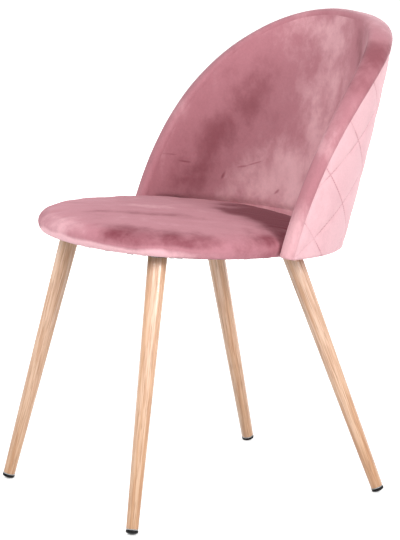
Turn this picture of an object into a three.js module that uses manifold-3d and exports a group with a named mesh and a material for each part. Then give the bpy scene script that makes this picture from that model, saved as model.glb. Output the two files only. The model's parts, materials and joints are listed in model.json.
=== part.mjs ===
// Scallop back chair: a round padded seat on four splayed tube legs, and a half-round back bent round it.
// Millimetres, +Z up. The chair faces -Y and stands on z = 0. Left and right are as seen from the front.
import * as THREE from "three";
import { mergeVertices } from "three/addons/utils/BufferGeometryUtils.js";
import Module from "manifold-3d";

const wasm = await Module();
wasm.setup();

// Clearances and overruns
const seatingGap = 0.3;
const bendGap = 0.8;
const overrun = 20;
const weldDistance = 0.0001;

// Seat outline, seen from above: half width, and depth before and behind the seat's centre
const seatHalfWidth = 220;
const seatFrontDepth = 230;
const seatRearDepth = 216;
const seatOutlinePower = 2.05;
const seatTilt = THREE.MathUtils.degToRad(4.6);
const boardUndersideHeight = 419;

// Seat layers
const boardThickness = 12;
const boardInset = 15;
const coverThickness = 1.4;
const seatSideHeight = 34;
const seatCrown = 8;
const seatTopRound = 26;
const seatBottomRound = 15;
const seatBottomRoundHeight = 13;
const seatRoundPower = 2.1;
const marginWidth = 4.5;
const dustCoverThickness = 0.6;
const dustCoverLap = 6;

// Back: how far its face stands off the seat, its lean, and the half-disc outline on the unrolled sheet
const besideSeatGap = 6.1;
const behindSeatGap = 29.5;
const backPlanCentre = -5.6;
const backPlanPower = 2.16;
const backLean = 101;
const backBow = 4.5;
const scallopHalfWidth = 353;
const scallopHeight = 353;
const scallopPower = 2.32;
const backEdgeAboveSeat = 1.5;

// Back layers, from the outer face inwards
const quiltThickness = 5.5;
const quiltDepth = 2.2;
const quiltWidth = 122;
const quiltHeight = 98;
const quiltDrop = 18;
const besideSeamShare = 0.25;
const shellThickness = 9;
const skirtPadding = 1.5;
const wingThickness = 28;
const crestThickness = 44;
const loinThickness = 7;
const loinRise = 102;
const noseLength = 13;
const nosePower = 2.5;
const shellSetback = 3;
const skirtRise = 24;
const padRise = 34;
const skirtMargin = 7;
const wingEndWidth = 24;

// Legs: where each meets its plate, as a bearing from straight ahead or behind and an inset from the outline,
// and how far it leans out, as shares of its height
const frontLegBearing = THREE.MathUtils.degToRad(47.724);
const frontLegInset = 47.33;
const rearLegBearing = THREE.MathUtils.degToRad(41.186);
const rearLegInset = 40.17;
const frontSplayShares = { x: 0.1539, y: 0.2096 };
const rearSplayShares = { x: 0.1918, y: 0.3105 };
const legFootDiameter = 19.5;
const legTopDiameter = 31;
const legWall = 1.5;

// Leg plate and its bolts
const plateLength = 58;
const plateWidth = 33;
const plateThickness = 3;
const plateCorner = 8;
const boltSpacing = 45;
const boltDiameter = 6;
const boltLength = 14;
const boltHeadDiameter = 11;
const boltHeadHeight = 3.6;
const boltHeadChamfer = 1.2;
const socketDepth = 2;
const socketAcross = 4;
const nutBarrelDiameter = 8.4;
const nutBarrelLength = 8.5;
const nutFlangeDiameter = 18;
const nutFlangeThickness = 1.2;

// Levelling glide and the threaded insert that holds it
const glideDiameter = 20;
const glideSideHeight = 4;
const glideDomeRadius = 16;
const glideFlat = 0.4;
const studDiameter = 6;
const studLength = 19;
const studInGlide = 2.6;
const insertLength = 24;
const insertFlange = 1;

// Brackets that hold the back to the seat board
const bracketWidth = 30;
const bracketThickness = 3;
const bracketReach = 46;
const bracketKnee = 13;
const bracketLift = 3;
const bracketTop = 20;
const bracketFromWingEnd = 69;
const screwDiameter = 5;
const screwHeadDiameter = 9;
const screwHeadHeight = 2.6;
const screwFaceDiameter = 6;
const boardScrewLength = 13;
const shellScrewLength = 14;
const shellScrewSpacing = 16;
const shellScrewHeight = 12.5;
const boardScrewInset = 14;

// Facets
const seatFacets = 36;
const roundFacets = 20;
const smallFacets = 10;
const rimSteps = 36;
const noseSteps = 6;
const sheetColumns = 18;
const sheetRows = 5;
const cornerSteps = 4;
const planSteps = 400;
const probeStep = 0.7;

// Colours
const velvet = 0xb9737d;
const paleVelvet = 0xe2a9b2;
const oakPrint = 0xe0bd98;

const chair = new THREE.Group();

function addPiece(group, name, geometry, color, roughness, metalness) {
  const material = new THREE.MeshStandardMaterial({ color, roughness, metalness });
  const mesh = new THREE.Mesh(geometry, material);
  mesh.name = name;
  group.add(mesh);
  return mesh;
}

// Merges shared corners, drops empty triangles and turns the faces outwards.
function closedGeometry(positions, indices) {
  const loose = new THREE.BufferGeometry();
  loose.setAttribute("position", new THREE.Float32BufferAttribute(positions, 3));
  loose.setIndex(indices);
  const merged = mergeVertices(loose, weldDistance);
  const points = merged.getAttribute("position");
  const kept = [];
  const a = new THREE.Vector3();
  const b = new THREE.Vector3();
  const c = new THREE.Vector3();
  let volume = 0;
  for (let i = 0; i < merged.index.count; i += 3) {
    const corners = [0, 1, 2].map((k) => merged.index.getX(i + k));
    if (new Set(corners).size < 3) continue;
    kept.push(...corners);
    a.fromBufferAttribute(points, corners[0]);
    b.fromBufferAttribute(points, corners[1]);
    c.fromBufferAttribute(points, corners[2]);
    volume += a.dot(b.cross(c));
  }
  if (volume < 0) kept.reverse();
  merged.setIndex(kept);
  return merged;
}

function plain(geometry) {
  const points = Array.from(geometry.getAttribute("position").array);
  const indices = geometry.index
    ? Array.from(geometry.index.array)
    : points.slice(0, points.length / 3).map((_, i) => i);
  return closedGeometry(points, indices);
}

function toSolid(geometry) {
  const merged = plain(geometry);
  return new wasm.Manifold(
    new wasm.Mesh({
      numProp: 3,
      vertProperties: merged.getAttribute("position").array,
      triVerts: new Uint32Array(merged.index.array),
    }),
  );
}

function toGeometry(solid) {
  const mesh = solid.getMesh();
  const geometry = new THREE.BufferGeometry();
  geometry.setAttribute("position", new THREE.Float32BufferAttribute(mesh.vertProperties, 3));
  geometry.setIndex(Array.from(mesh.triVerts));
  return geometry;
}

function cut(geometry, ...cutters) {
  let solid = toSolid(geometry);
  for (const cutter of cutters) solid = solid.subtract(toSolid(cutter));
  const bodies = solid.decompose();
  bodies.sort((a, b) => b.volume() - a.volume());
  return toGeometry(bodies[0]);
}

// A section carried through stations, each a list of points in the same order, closed at both ends.
// The ends are filled in strips that start at the section's point with the index tip.
function sweep(stations, tip = 0) {
  const positions = stations.flat().flatMap((p) => [p.x, p.y, p.z]);
  const count = stations[0].length;
  const indices = [];
  for (let i = 0; i + 1 < stations.length; i++) {
    for (let j = 0; j < count; j++) {
      const a = i * count + j;
      const b = i * count + ((j + 1) % count);
      indices.push(a, b, b + count, a, b + count, a + count);
    }
  }
  const last = (stations.length - 1) * count;
  const section = stations[0];
  let ahead = tip;
  let behind = (tip + count - 1) % count;
  for (let left = count - 2; left > 0; left--) {
    const next = (ahead + 1) % count;
    const previous = (behind + count - 1) % count;
    const forward = section[next].distanceTo(section[behind]);
    const backward = section[ahead].distanceTo(section[previous]);
    const [p, q, r] = forward < backward ? [ahead, next, behind] : [ahead, previous, behind];
    indices.push(p, r, q, last + p, last + q, last + r);
    if (forward < backward) ahead = next;
    else behind = previous;
  }
  return closedGeometry(positions, indices);
}

// A closed or axis-to-axis profile turned about Z.
function turned(profile, facets) {
  const points = profile.map(([radius, height]) => new THREE.Vector2(radius, height));
  return plain(new THREE.LatheGeometry(points, facets).rotateX(Math.PI / 2));
}

function rod(diameter, from, to, facets = smallFacets) {
  const radius = diameter / 2;
  return turned([[0, from], [radius, from], [radius, to], [0, to]], facets);
}

// A round-cornered plate lying on XY, from one height to another.
function roundedPlate(length, width, corner, from, to) {
  const x = length / 2;
  const y = width / 2;
  const shape = new THREE.Shape();
  shape.moveTo(corner - x, -y);
  shape.lineTo(x - corner, -y);
  shape.absarc(x - corner, corner - y, corner, -Math.PI / 2, 0);
  shape.absarc(x - corner, y - corner, corner, 0, Math.PI / 2);
  shape.absarc(corner - x, y - corner, corner, Math.PI / 2, Math.PI);
  shape.absarc(corner - x, corner - y, corner, Math.PI, 1.5 * Math.PI);
  const options = { depth: to - from, bevelEnabled: false, curveSegments: cornerSteps };
  return new THREE.ExtrudeGeometry(shape, options).translate(0, 0, from);
}

// Seat

const seatGroup = new THREE.Group();
seatGroup.position.z = boardUndersideHeight;
seatGroup.rotation.x = -seatTilt;
chair.add(seatGroup);
seatGroup.updateMatrixWorld(true);

function seatRadius(angle) {
  const depth = Math.sin(angle) < 0 ? seatFrontDepth : seatRearDepth;
  const x = Math.abs(Math.cos(angle) / seatHalfWidth) ** seatOutlinePower;
  const y = Math.abs(Math.sin(angle) / depth) ** seatOutlinePower;
  return (x + y) ** (-1 / seatOutlinePower);
}

// A profile of [share of the radius, inset from the outline, height], from the centre back to the centre,
// carried round the seat's outline.
function seatBody(profile) {
  const positions = [];
  const indices = [];
  const count = profile.length;
  for (let i = 0; i < seatFacets; i++) {
    const angle = (2 * Math.PI * i) / seatFacets;
    for (const [share, inset, height] of profile) {
      const radius = share * (seatRadius(angle) - inset);
      positions.push(radius * Math.cos(angle), radius * Math.sin(angle), height);
    }
  }
  for (let i = 0; i < seatFacets; i++) {
    const next = (i + 1) % seatFacets;
    for (let j = 0; j + 1 < count; j++) {
      const a = i * count + j;
      const b = next * count + j;
      indices.push(a, a + 1, b + 1, a, b + 1, b);
    }
  }
  return closedGeometry(positions, indices);
}

const coverBottom = -(seatingGap + coverThickness);
const coverTop = coverBottom + seatSideHeight;

// The upholstered side from the underside's flat to the top's crown, drawn in by a distance from its face.
function seatSkin(within, crownShares) {
  const points = [];
  const roundPoint = (turn, inset, level, height) => {
    const along = Math.cos(turn) ** (2 / seatRoundPower);
    const up = Math.sin(turn) ** (2 / seatRoundPower);
    return [1, inset - (inset - within) * along, level + height * up];
  };
  const waist = coverBottom + seatBottomRoundHeight;
  const quarterSteps = 3;
  for (let i = 0; i <= quarterSteps; i++) {
    const turn = (Math.PI / 2) * (1 - i / quarterSteps);
    points.push(roundPoint(turn, seatBottomRound, waist, within - seatBottomRoundHeight));
  }
  const shoulder = coverTop - within;
  for (let i = 1; i <= quarterSteps + 1; i++) {
    const turn = (Math.PI / 2) * (i / (quarterSteps + 1));
    points.push(roundPoint(turn, seatTopRound, waist, shoulder - waist));
  }
  for (const share of crownShares) {
    points.push([share, seatTopRound, shoulder + seatCrown * (1 - share ** 2)]);
  }
  return points;
}

const crownShares = [0.85, 0.65, 0.4, 0];
const marginEdge = boardInset + marginWidth;
const foamWithin = coverThickness + seatingGap;

const coverProfile = [
  [1, marginEdge, coverBottom],
  ...seatSkin(0, crownShares),
];
const coverInside = [
  [1, marginEdge, coverBottom + coverThickness],
  ...seatSkin(coverThickness, crownShares),
].reverse();
const seatCover = seatBody([...coverInside, ...coverProfile]);
addPiece(seatGroup, "seat_cover", seatCover, velvet, 0.85, 0);

const foamUnderside = boardThickness + seatingGap;
const foamHem = [1, boardInset - seatingGap, seatingGap];
const foamSkin = seatSkin(foamWithin, crownShares).filter(([, , height]) => height > foamHem[2]);
const seatFoam = seatBody([
  [0, 0, foamUnderside],
  [1, boardInset - seatingGap, foamUnderside],
  foamHem,
  ...foamSkin,
]);
addPiece(seatGroup, "seat_foam", seatFoam, 0xe9dcb4, 0.95, 0);

// Legs

const front = { along: -1, bearing: frontLegBearing, inset: frontLegInset, splay: frontSplayShares };
const rear = { along: 1, bearing: rearLegBearing, inset: rearLegInset, splay: rearSplayShares };
const legs = [
  { name: "front_left", across: -1, ...front },
  { name: "front_right", across: 1, ...front },
  { name: "rear_left", across: -1, ...rear },
  { name: "rear_right", across: 1, ...rear },
];
const domeCentreHeight = glideDomeRadius - glideFlat;
const glideRim = Math.sqrt(glideDomeRadius ** 2 - (glideDiameter / 2) ** 2);
const glideTop = glideSideHeight - glideRim;
const flangeBottom = glideTop + seatingGap;
const tubeBottom = flangeBottom + insertFlange + seatingGap;
const plateTop = -(2 * seatingGap + dustCoverThickness);
const plateUnderside = plateTop - plateThickness;
const nutHeadroom = nutFlangeThickness + seatingGap;
const studBore = studDiameter / 2 + seatingGap;
const domeSteps = 4;
const boardHoles = [];
const sheetHoles = [];

for (const leg of legs) {
  // Where the leg's axis meets its plate, and from there down to the foot's dome centre
  const bearing = Math.atan2(leg.along * Math.cos(leg.bearing), leg.across * Math.sin(leg.bearing));
  const reach = seatRadius(bearing) - leg.inset;
  const top = new THREE.Vector3(reach * Math.cos(bearing), reach * Math.sin(bearing), plateUnderside);
  const lean = new THREE.Vector3(-leg.across * leg.splay.x, -leg.along * leg.splay.y, 1);
  const meeting = top.clone().applyMatrix4(seatGroup.matrixWorld);
  const foot = meeting.clone().addScaledVector(lean, domeCentreHeight - meeting.z);
  const length = foot.distanceTo(meeting);
  leg.group = new THREE.Group();
  leg.group.position.copy(foot);
  leg.group.quaternion.setFromUnitVectors(new THREE.Vector3(0, 0, 1), lean.clone().normalize());
  chair.add(leg.group);
  leg.group.updateMatrixWorld(true);

  const radiusAt = (z) => {
    const share = (z - tubeBottom) / (length - tubeBottom);
    return THREE.MathUtils.lerp(legFootDiameter, legTopDiameter, share) / 2;
  };
  const end = length + overrun;
  const tube = turned(
    [
      [radiusAt(tubeBottom) - legWall, tubeBottom],
      [radiusAt(tubeBottom), tubeBottom],
      [radiusAt(end), end],
      [radiusAt(end) - legWall, end],
      [radiusAt(tubeBottom) - legWall, tubeBottom],
    ],
    roundFacets,
  );
  const trim = new THREE.BoxGeometry(legTopDiameter * 3, legTopDiameter * 3, overrun * 3);
  trim.translate(top.x, top.y, plateUnderside - seatingGap + overrun * 1.5);
  trim.applyMatrix4(leg.group.matrixWorld.clone().invert().multiply(seatGroup.matrixWorld));
  addPiece(leg.group, `leg_tube_${leg.name}`, cut(tube, trim), oakPrint, 0.45, 0.1);

  // Threaded insert pressed into the tube's end
  const insertOuter = 2 * (radiusAt(tubeBottom) - legWall - seatingGap);
  const insert = turned(
    [
      [studBore, flangeBottom],
      [radiusAt(tubeBottom), flangeBottom],
      [radiusAt(tubeBottom), flangeBottom + insertFlange],
      [insertOuter / 2, flangeBottom + insertFlange],
      [insertOuter / 2, flangeBottom + insertLength],
      [studBore, flangeBottom + insertLength],
      [studBore, flangeBottom],
    ],
    smallFacets,
  );
  addPiece(leg.group, `leg_insert_${leg.name}`, insert, 0xb8b8b6, 0.3, 1);

  // Glide: a domed foot with a small worn flat where it meets the floor, moulded round a stud
  const domeEdge = Math.asin(glideDiameter / 2 / glideDomeRadius);
  const pad = [];
  for (let i = 0; i <= domeSteps; i++) {
    const turn = (domeEdge * i) / domeSteps;
    pad.push([glideDomeRadius * Math.sin(turn), -glideDomeRadius * Math.cos(turn)]);
  }
  const socketFloor = glideTop - studInGlide - seatingGap;
  pad.push([glideDiameter / 2, glideTop], [studBore, glideTop]);
  pad.push([studBore, socketFloor], [0, socketFloor]);
  const floor = new THREE.BoxGeometry(glideDiameter * 2, glideDiameter * 2, overrun);
  floor.translate(foot.x, foot.y, -overrun / 2);
  floor.applyMatrix4(leg.group.matrixWorld.clone().invert());
  const padShape = cut(turned(pad, roundFacets), floor);
  addPiece(leg.group, `glide_pad_${leg.name}`, padShape, 0x17181b, 0.25, 0);
  const studBottom = glideTop - studInGlide;
  const stud = rod(studDiameter, studBottom, studBottom + studLength);
  addPiece(leg.group, `glide_stud_${leg.name}`, stud, 0xb8b8b6, 0.35, 1);

  // Plate across the leg's top, with its bolts and the nuts that they screw into
  const plateGroup = new THREE.Group();
  plateGroup.position.set(top.x, top.y, 0);
  plateGroup.rotation.z = Math.atan2(top.y, top.x) + Math.PI / 2;
  seatGroup.add(plateGroup);
  plateGroup.updateMatrix();
  const boltPlaces = [-boltSpacing / 2, boltSpacing / 2];
  const boltHole = boltDiameter + 2 * seatingGap;
  const plate = cut(
    roundedPlate(plateLength, plateWidth, plateCorner, plateUnderside, plateTop),
    ...boltPlaces.map((x) =>
      rod(boltHole, plateUnderside - overrun, plateTop + overrun).translate(x, 0, 0),
    ),
  );
  addPiece(plateGroup, `leg_plate_${leg.name}`, plate, 0x2a2a2c, 0.5, 0.6);

  boltPlaces.forEach((x, i) => {
    const side = i ? "b" : "a";
    const headTop = plateUnderside - seatingGap;
    const bolt = cut(
      turned(
        [
          [0, headTop - boltHeadHeight],
          [boltHeadDiameter / 2 - boltHeadChamfer, headTop - boltHeadHeight],
          [boltHeadDiameter / 2, headTop - boltHeadHeight + boltHeadChamfer],
          [boltHeadDiameter / 2, headTop],
          [boltDiameter / 2, headTop],
          [boltDiameter / 2, headTop + boltLength],
          [0, headTop + boltLength],
        ],
        smallFacets,
      ),
      rod(socketAcross, headTop - boltHeadHeight - overrun, headTop - boltHeadHeight + socketDepth, 6),
    );
    bolt.translate(x, 0, 0);
    addPiece(plateGroup, `leg_bolt_${leg.name}_${side}`, bolt, 0x8f9092, 0.35, 1);

    const nutTop = boardThickness;
    const nutBore = boltDiameter / 2 + seatingGap;
    const nut = turned(
      [
        [nutBore, nutTop],
        [nutFlangeDiameter / 2, nutTop],
        [nutFlangeDiameter / 2, nutTop - nutFlangeThickness],
        [nutBarrelDiameter / 2, nutTop - nutFlangeThickness],
        [nutBarrelDiameter / 2, nutTop - nutFlangeThickness - nutBarrelLength],
        [nutBore, nutTop - nutFlangeThickness - nutBarrelLength],
        [nutBore, nutTop],
      ],
      smallFacets,
    );
    nut.translate(x, 0, 0);
    addPiece(plateGroup, `board_nut_${leg.name}_${side}`, nut, 0x9a9b9d, 0.4, 1);

    const barrelHole = nutBarrelDiameter + 2 * seatingGap;
    const flangeHole = nutFlangeDiameter + 2 * seatingGap;
    for (const hole of [
      rod(barrelHole, -overrun, boardThickness + overrun),
      rod(flangeHole, boardThickness - nutHeadroom, boardThickness + overrun),
    ]) {
      boardHoles.push(hole.translate(x, 0, 0).applyMatrix4(plateGroup.matrix));
    }
    const sheetHole = rod(boltHole, -overrun, overrun).translate(x, 0, 0);
    sheetHoles.push(sheetHole.applyMatrix4(plateGroup.matrix));
  });
}

// Back: one leaning sheet, bent round the seat. s runs along it from its middle, h up from its lower edge.

const shellFace = quiltThickness + bendGap;
const shellInside = shellFace + shellThickness;
const padFace = shellInside + bendGap / 2;
const foamDepth = coverThickness + seatingGap;
const skirtThickness = padFace + skirtPadding + foamDepth;
const backHalfWidth = seatHalfWidth + besideSeatGap + skirtThickness;
const backPlanDepth = seatRearDepth - backPlanCentre + behindSeatGap + skirtThickness;
const bracketSideArc = scallopHalfWidth - bracketFromWingEnd;
const skirtReach = bracketSideArc + bracketWidth / 2 + skirtMargin;
const wingFrontReach = scallopHalfWidth - wingEndWidth;

const planTable = [{ arc: 0, x: 0, y: backPlanDepth }];
for (let i = 1; i <= planSteps; i++) {
  const turn = (Math.PI / 2) * (1 - i / planSteps);
  const x = backHalfWidth * Math.cos(turn) ** (2 / backPlanPower);
  const y = backPlanDepth * Math.sin(turn) ** (2 / backPlanPower);
  const before = planTable[i - 1];
  planTable.push({ arc: before.arc + Math.hypot(x - before.x, y - before.y), x, y });
}

function planPoint(s) {
  const reach = Math.min(Math.abs(s), planTable[planTable.length - 1].arc);
  let low = 0;
  let high = planTable.length - 1;
  while (high - low > 1) {
    const middle = (low + high) >> 1;
    if (planTable[middle].arc > reach) high = middle;
    else low = middle;
  }
  const share = (reach - planTable[low].arc) / (planTable[high].arc - planTable[low].arc);
  const x = THREE.MathUtils.lerp(planTable[low].x, planTable[high].x, share);
  const y = THREE.MathUtils.lerp(planTable[low].y, planTable[high].y, share);
  return { x: Math.sign(s) * x, y: y + backPlanCentre };
}

const edgeBase = boardUndersideHeight + coverBottom + backEdgeAboveSeat;

function sheetPoint(s, h) {
  const { x, y } = planPoint(s);
  const rise = h / scallopHeight;
  const lean = backLean * rise + backBow * Math.sin(Math.PI * rise);
  return new THREE.Vector3(x, y + lean, edgeBase - Math.tan(seatTilt) * y + h);
}

function backInward(s, h) {
  const across = sheetPoint(s + probeStep, h).sub(sheetPoint(s - probeStep, h));
  const up = sheetPoint(s, h + probeStep).sub(sheetPoint(s, h - probeStep));
  return across.cross(up).normalize();
}

// A point at a depth inwards from the outer face
function backPoint(s, h, depth) {
  return sheetPoint(s, h).addScaledVector(backInward(s, h), depth);
}

// Full padded thickness of the back: thin beside the seat, thicker above it, and thickest at the crest
function backThickness(s, h) {
  const rise = THREE.MathUtils.clamp(h / scallopHeight, 0, 1);
  const reach = Math.hypot(s / scallopHalfWidth, rise);
  const loin = loinThickness * Math.max(0, 1 - reach ** 2) * THREE.MathUtils.smoothstep(h, padRise, loinRise);
  const full = wingThickness + (crestThickness - wingThickness) * rise ** 2 + loin;
  const above = THREE.MathUtils.smoothstep(h, skirtRise, padRise);
  const beside = THREE.MathUtils.smoothstep(Math.abs(s), skirtReach, wingFrontReach);
  return THREE.MathUtils.lerp(skirtThickness, full, Math.max(above, beside));
}

// A section of points { edge, part, depth } carried round the rim from wing to wing, and below it by a drop.
// edge is the distance in from the rim, part a share of the padded thickness, and depth is added to that.
function aroundRim(section, { drop = 0, tip = 0 } = {}) {
  const stations = [];
  const place = (turn, below) => {
    const along = Math.sign(Math.cos(turn)) * Math.abs(Math.cos(turn)) ** (2 / scallopPower);
    const out = { s: scallopHalfWidth * along, h: scallopHeight * Math.sin(turn) ** (2 / scallopPower) };
    const reach = Math.hypot(out.s, out.h);
    stations.push(
      section.map(({ edge, part = 0, depth = 0 }) => {
        const s = out.s * (1 - edge / reach);
        const h = out.h * (1 - edge / reach);
        return backPoint(s, h - below, part * backThickness(s, h) + depth);
      }),
    );
  };
  if (drop) place(0, drop);
  for (let i = 0; i < rimSteps; i++) place((Math.PI * i) / rimSteps, 0);
  place(Math.PI, 0);
  if (drop) place(Math.PI, drop);
  return sweep(stations, tip);
}

// The sheet between two depths, each a function of s and h, over a grid of columns and rows.
function patch(columns, rows, near, far, rising = () => true) {
  const positions = [];
  const indices = [];
  const count = rows.length;
  const layer = columns.length * count;
  for (const depth of [near, far]) {
    for (const s of columns) {
      for (const h of rows) positions.push(...backPoint(s, h, depth(s, h)).toArray());
    }
  }
  for (let i = 0; i + 1 < columns.length; i++) {
    for (let j = 0; j + 1 < count; j++) {
      const a = i * count + j;
      const b = a + count;
      const cell = rising(i, j) ? [a, b, b + 1, a, b + 1, a + 1] : [a, b, a + 1, b, b + 1, a + 1];
      indices.push(...cell);
      indices.push(...cell.map((k) => k + layer).reverse());
    }
  }
  const wall = (a, b) => indices.push(a, b, b + layer, a, b + layer, a + layer);
  const end = layer - count;
  for (let i = 0; i + 1 < columns.length; i++) {
    wall((i + 1) * count, i * count);
    wall(i * count + count - 1, (i + 1) * count + count - 1);
  }
  for (let j = 0; j + 1 < count; j++) {
    wall(j, j + 1);
    wall(end + j + 1, end + j);
  }
  return closedGeometry(positions, indices);
}

// Rounded edge of the padding at the rim, drawn in by a distance
function nose(within) {
  const points = [];
  for (let i = 0; i <= noseSteps; i++) {
    const turn = (Math.PI * i) / noseSteps;
    const side = Math.sign(Math.cos(turn)) * Math.abs(Math.cos(turn)) ** (2 / nosePower);
    const front = Math.sin(turn) ** (2 / nosePower);
    points.push({
      edge: noseLength - (noseLength - within) * front,
      part: (1 - side) / 2,
      depth: within * side,
    });
  }
  return points;
}

function evenly(from, to, steps) {
  return Array.from({ length: steps + 1 }, (_, i) => THREE.MathUtils.lerp(from, to, i / steps));
}

// Everything outside the rim, down to a distance in from it
function beyondRim(edge) {
  const clear = seatingGap / 2;
  const outside = -scallopHeight / 2;
  return aroundRim(
    [
      { edge, depth: -overrun },
      { edge: outside, depth: -overrun },
      { edge: outside, part: 1, depth: overrun },
      { edge, part: 1, depth: overrun },
      { edge, part: 1, depth: -foamDepth },
      { edge, depth: shellInside + clear },
      { edge, depth: shellFace - clear },
      { edge, depth: 0 },
    ],
    { drop: overrun / 2 },
  );
}

const quiltStepS = quiltWidth / 4;
const quiltStepH = quiltHeight / 4;
const quiltColumnCount = 2 * Math.ceil(scallopHalfWidth / quiltStepS);
const quiltRowCount = Math.ceil((scallopHeight + quiltDrop) / quiltStepH);
const quiltTop = quiltRowCount * quiltStepH - quiltDrop;
const quiltReach = (quiltColumnCount / 2) * quiltStepS;
const quiltColumns = evenly(-quiltReach, quiltReach, quiltColumnCount);
const quiltRows = evenly(-quiltDrop, quiltTop, quiltRowCount).map((h) => Math.max(h, 0));
const columns = [
  -scallopHalfWidth,
  -wingFrontReach,
  ...evenly(-skirtReach, skirtReach, sheetColumns),
  wingFrontReach,
  scallopHalfWidth,
];
const shellRows = evenly(0, scallopHeight, sheetRows);
const padRows = [0, skirtRise, padRise, ...evenly((padRise + loinRise) / 2, scallopHeight, sheetRows)];
const seamEdge = noseLength + seatingGap;
const shellEdge = noseLength + shellSetback;
const rollInset = shellEdge + shellSetback;
const depthOf = (depth) => () => depth;

const shellBlank = patch(columns, shellRows, depthOf(shellFace), depthOf(shellInside));
const backShell = cut(shellBlank, beyondRim(shellEdge));

// Padding: a sheet on the shell's inside, and a roll round its rim
const padSheet = cut(
  patch(columns, padRows, depthOf(padFace), (s, h) => backThickness(s, h) - foamDepth),
  beyondRim(rollInset + seatingGap),
);
const rollSection = [
  ...nose(foamDepth + seatingGap),
  { edge: rollInset, part: 1, depth: -foamDepth - bendGap },
  { edge: rollInset, depth: shellInside + bendGap },
  { edge: shellEdge - seatingGap, depth: shellInside + bendGap },
  { edge: shellEdge - seatingGap, depth: quiltThickness + bendGap },
  { edge: noseLength, depth: quiltThickness + bendGap },
];
const rimRoll = aroundRim(rollSection, { tip: 3 });
addPiece(chair, "back_rim_roll", rimRoll, 0xf2f0ea, 0.95, 0);

// Inner cover, and the band round the rim between it and the outer cover
const innerCover = cut(
  patch(columns, padRows, (s, h) => backThickness(s, h) - coverThickness, backThickness),
  beyondRim(seamEdge),
);
const rimBand = aroundRim([...nose(0), ...nose(coverThickness).reverse()]);
addPiece(chair, "back_rim_band", rimBand, velvet, 0.85, 0);

// Outer cover: velvet on thin foam, sewn through in diamonds
function quilt(s, h) {
  const i = Math.round(s / quiltStepS);
  const j = Math.round((h + quiltDrop) / quiltStepH);
  const onSeam = (i + j) % 4 === 0 || (i - j) % 4 === 0;
  const besideSeam = (i + j) % 2 !== 0;
  return onSeam ? quiltDepth : besideSeam ? quiltDepth * besideSeamShare : 0;
}
const risingCell = (i, j) => (i - quiltColumnCount / 2 + j) % 2 === 0;
const outerCover = cut(
  patch(quiltColumns, quiltRows, quilt, depthOf(quiltThickness), risingCell),
  beyondRim(seamEdge),
);
addPiece(chair, "back_outer_cover", outerCover, paleVelvet, 0.85, 0);

// Brackets: one behind and one each side, bent from the shell's inside to under the board

const toSeat = seatGroup.matrixWorld.clone().invert();
const bracketFlangeTop = coverBottom - dustCoverThickness - 2 * seatingGap;
const bracketBase = bracketFlangeTop - bracketThickness;
const brackets = [
  { name: "rear", s: 0 },
  { name: "left", s: -bracketSideArc },
  { name: "right", s: bracketSideArc },
];
const shellHoles = [];

// A bent strip's section: a line of points and its copy at a thickness to one side
function strip(line, thickness) {
  const offset = line.map((point, i) => {
    const before = line[Math.max(i - 1, 0)];
    const after = line[Math.min(i + 1, line.length - 1)];
    const arriving = point.clone().sub(i ? before : point.clone().multiplyScalar(2).sub(after)).normalize();
    const leaving = (i + 1 < line.length ? after.clone().sub(point) : arriving.clone()).normalize();
    const mitre = 1 + arriving.dot(leaving);
    const across = arriving.add(leaving).divideScalar(mitre);
    return new THREE.Vector2(point.x + across.y * thickness, point.y - across.x * thickness);
  });
  return [...line, ...offset.reverse()];
}

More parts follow.
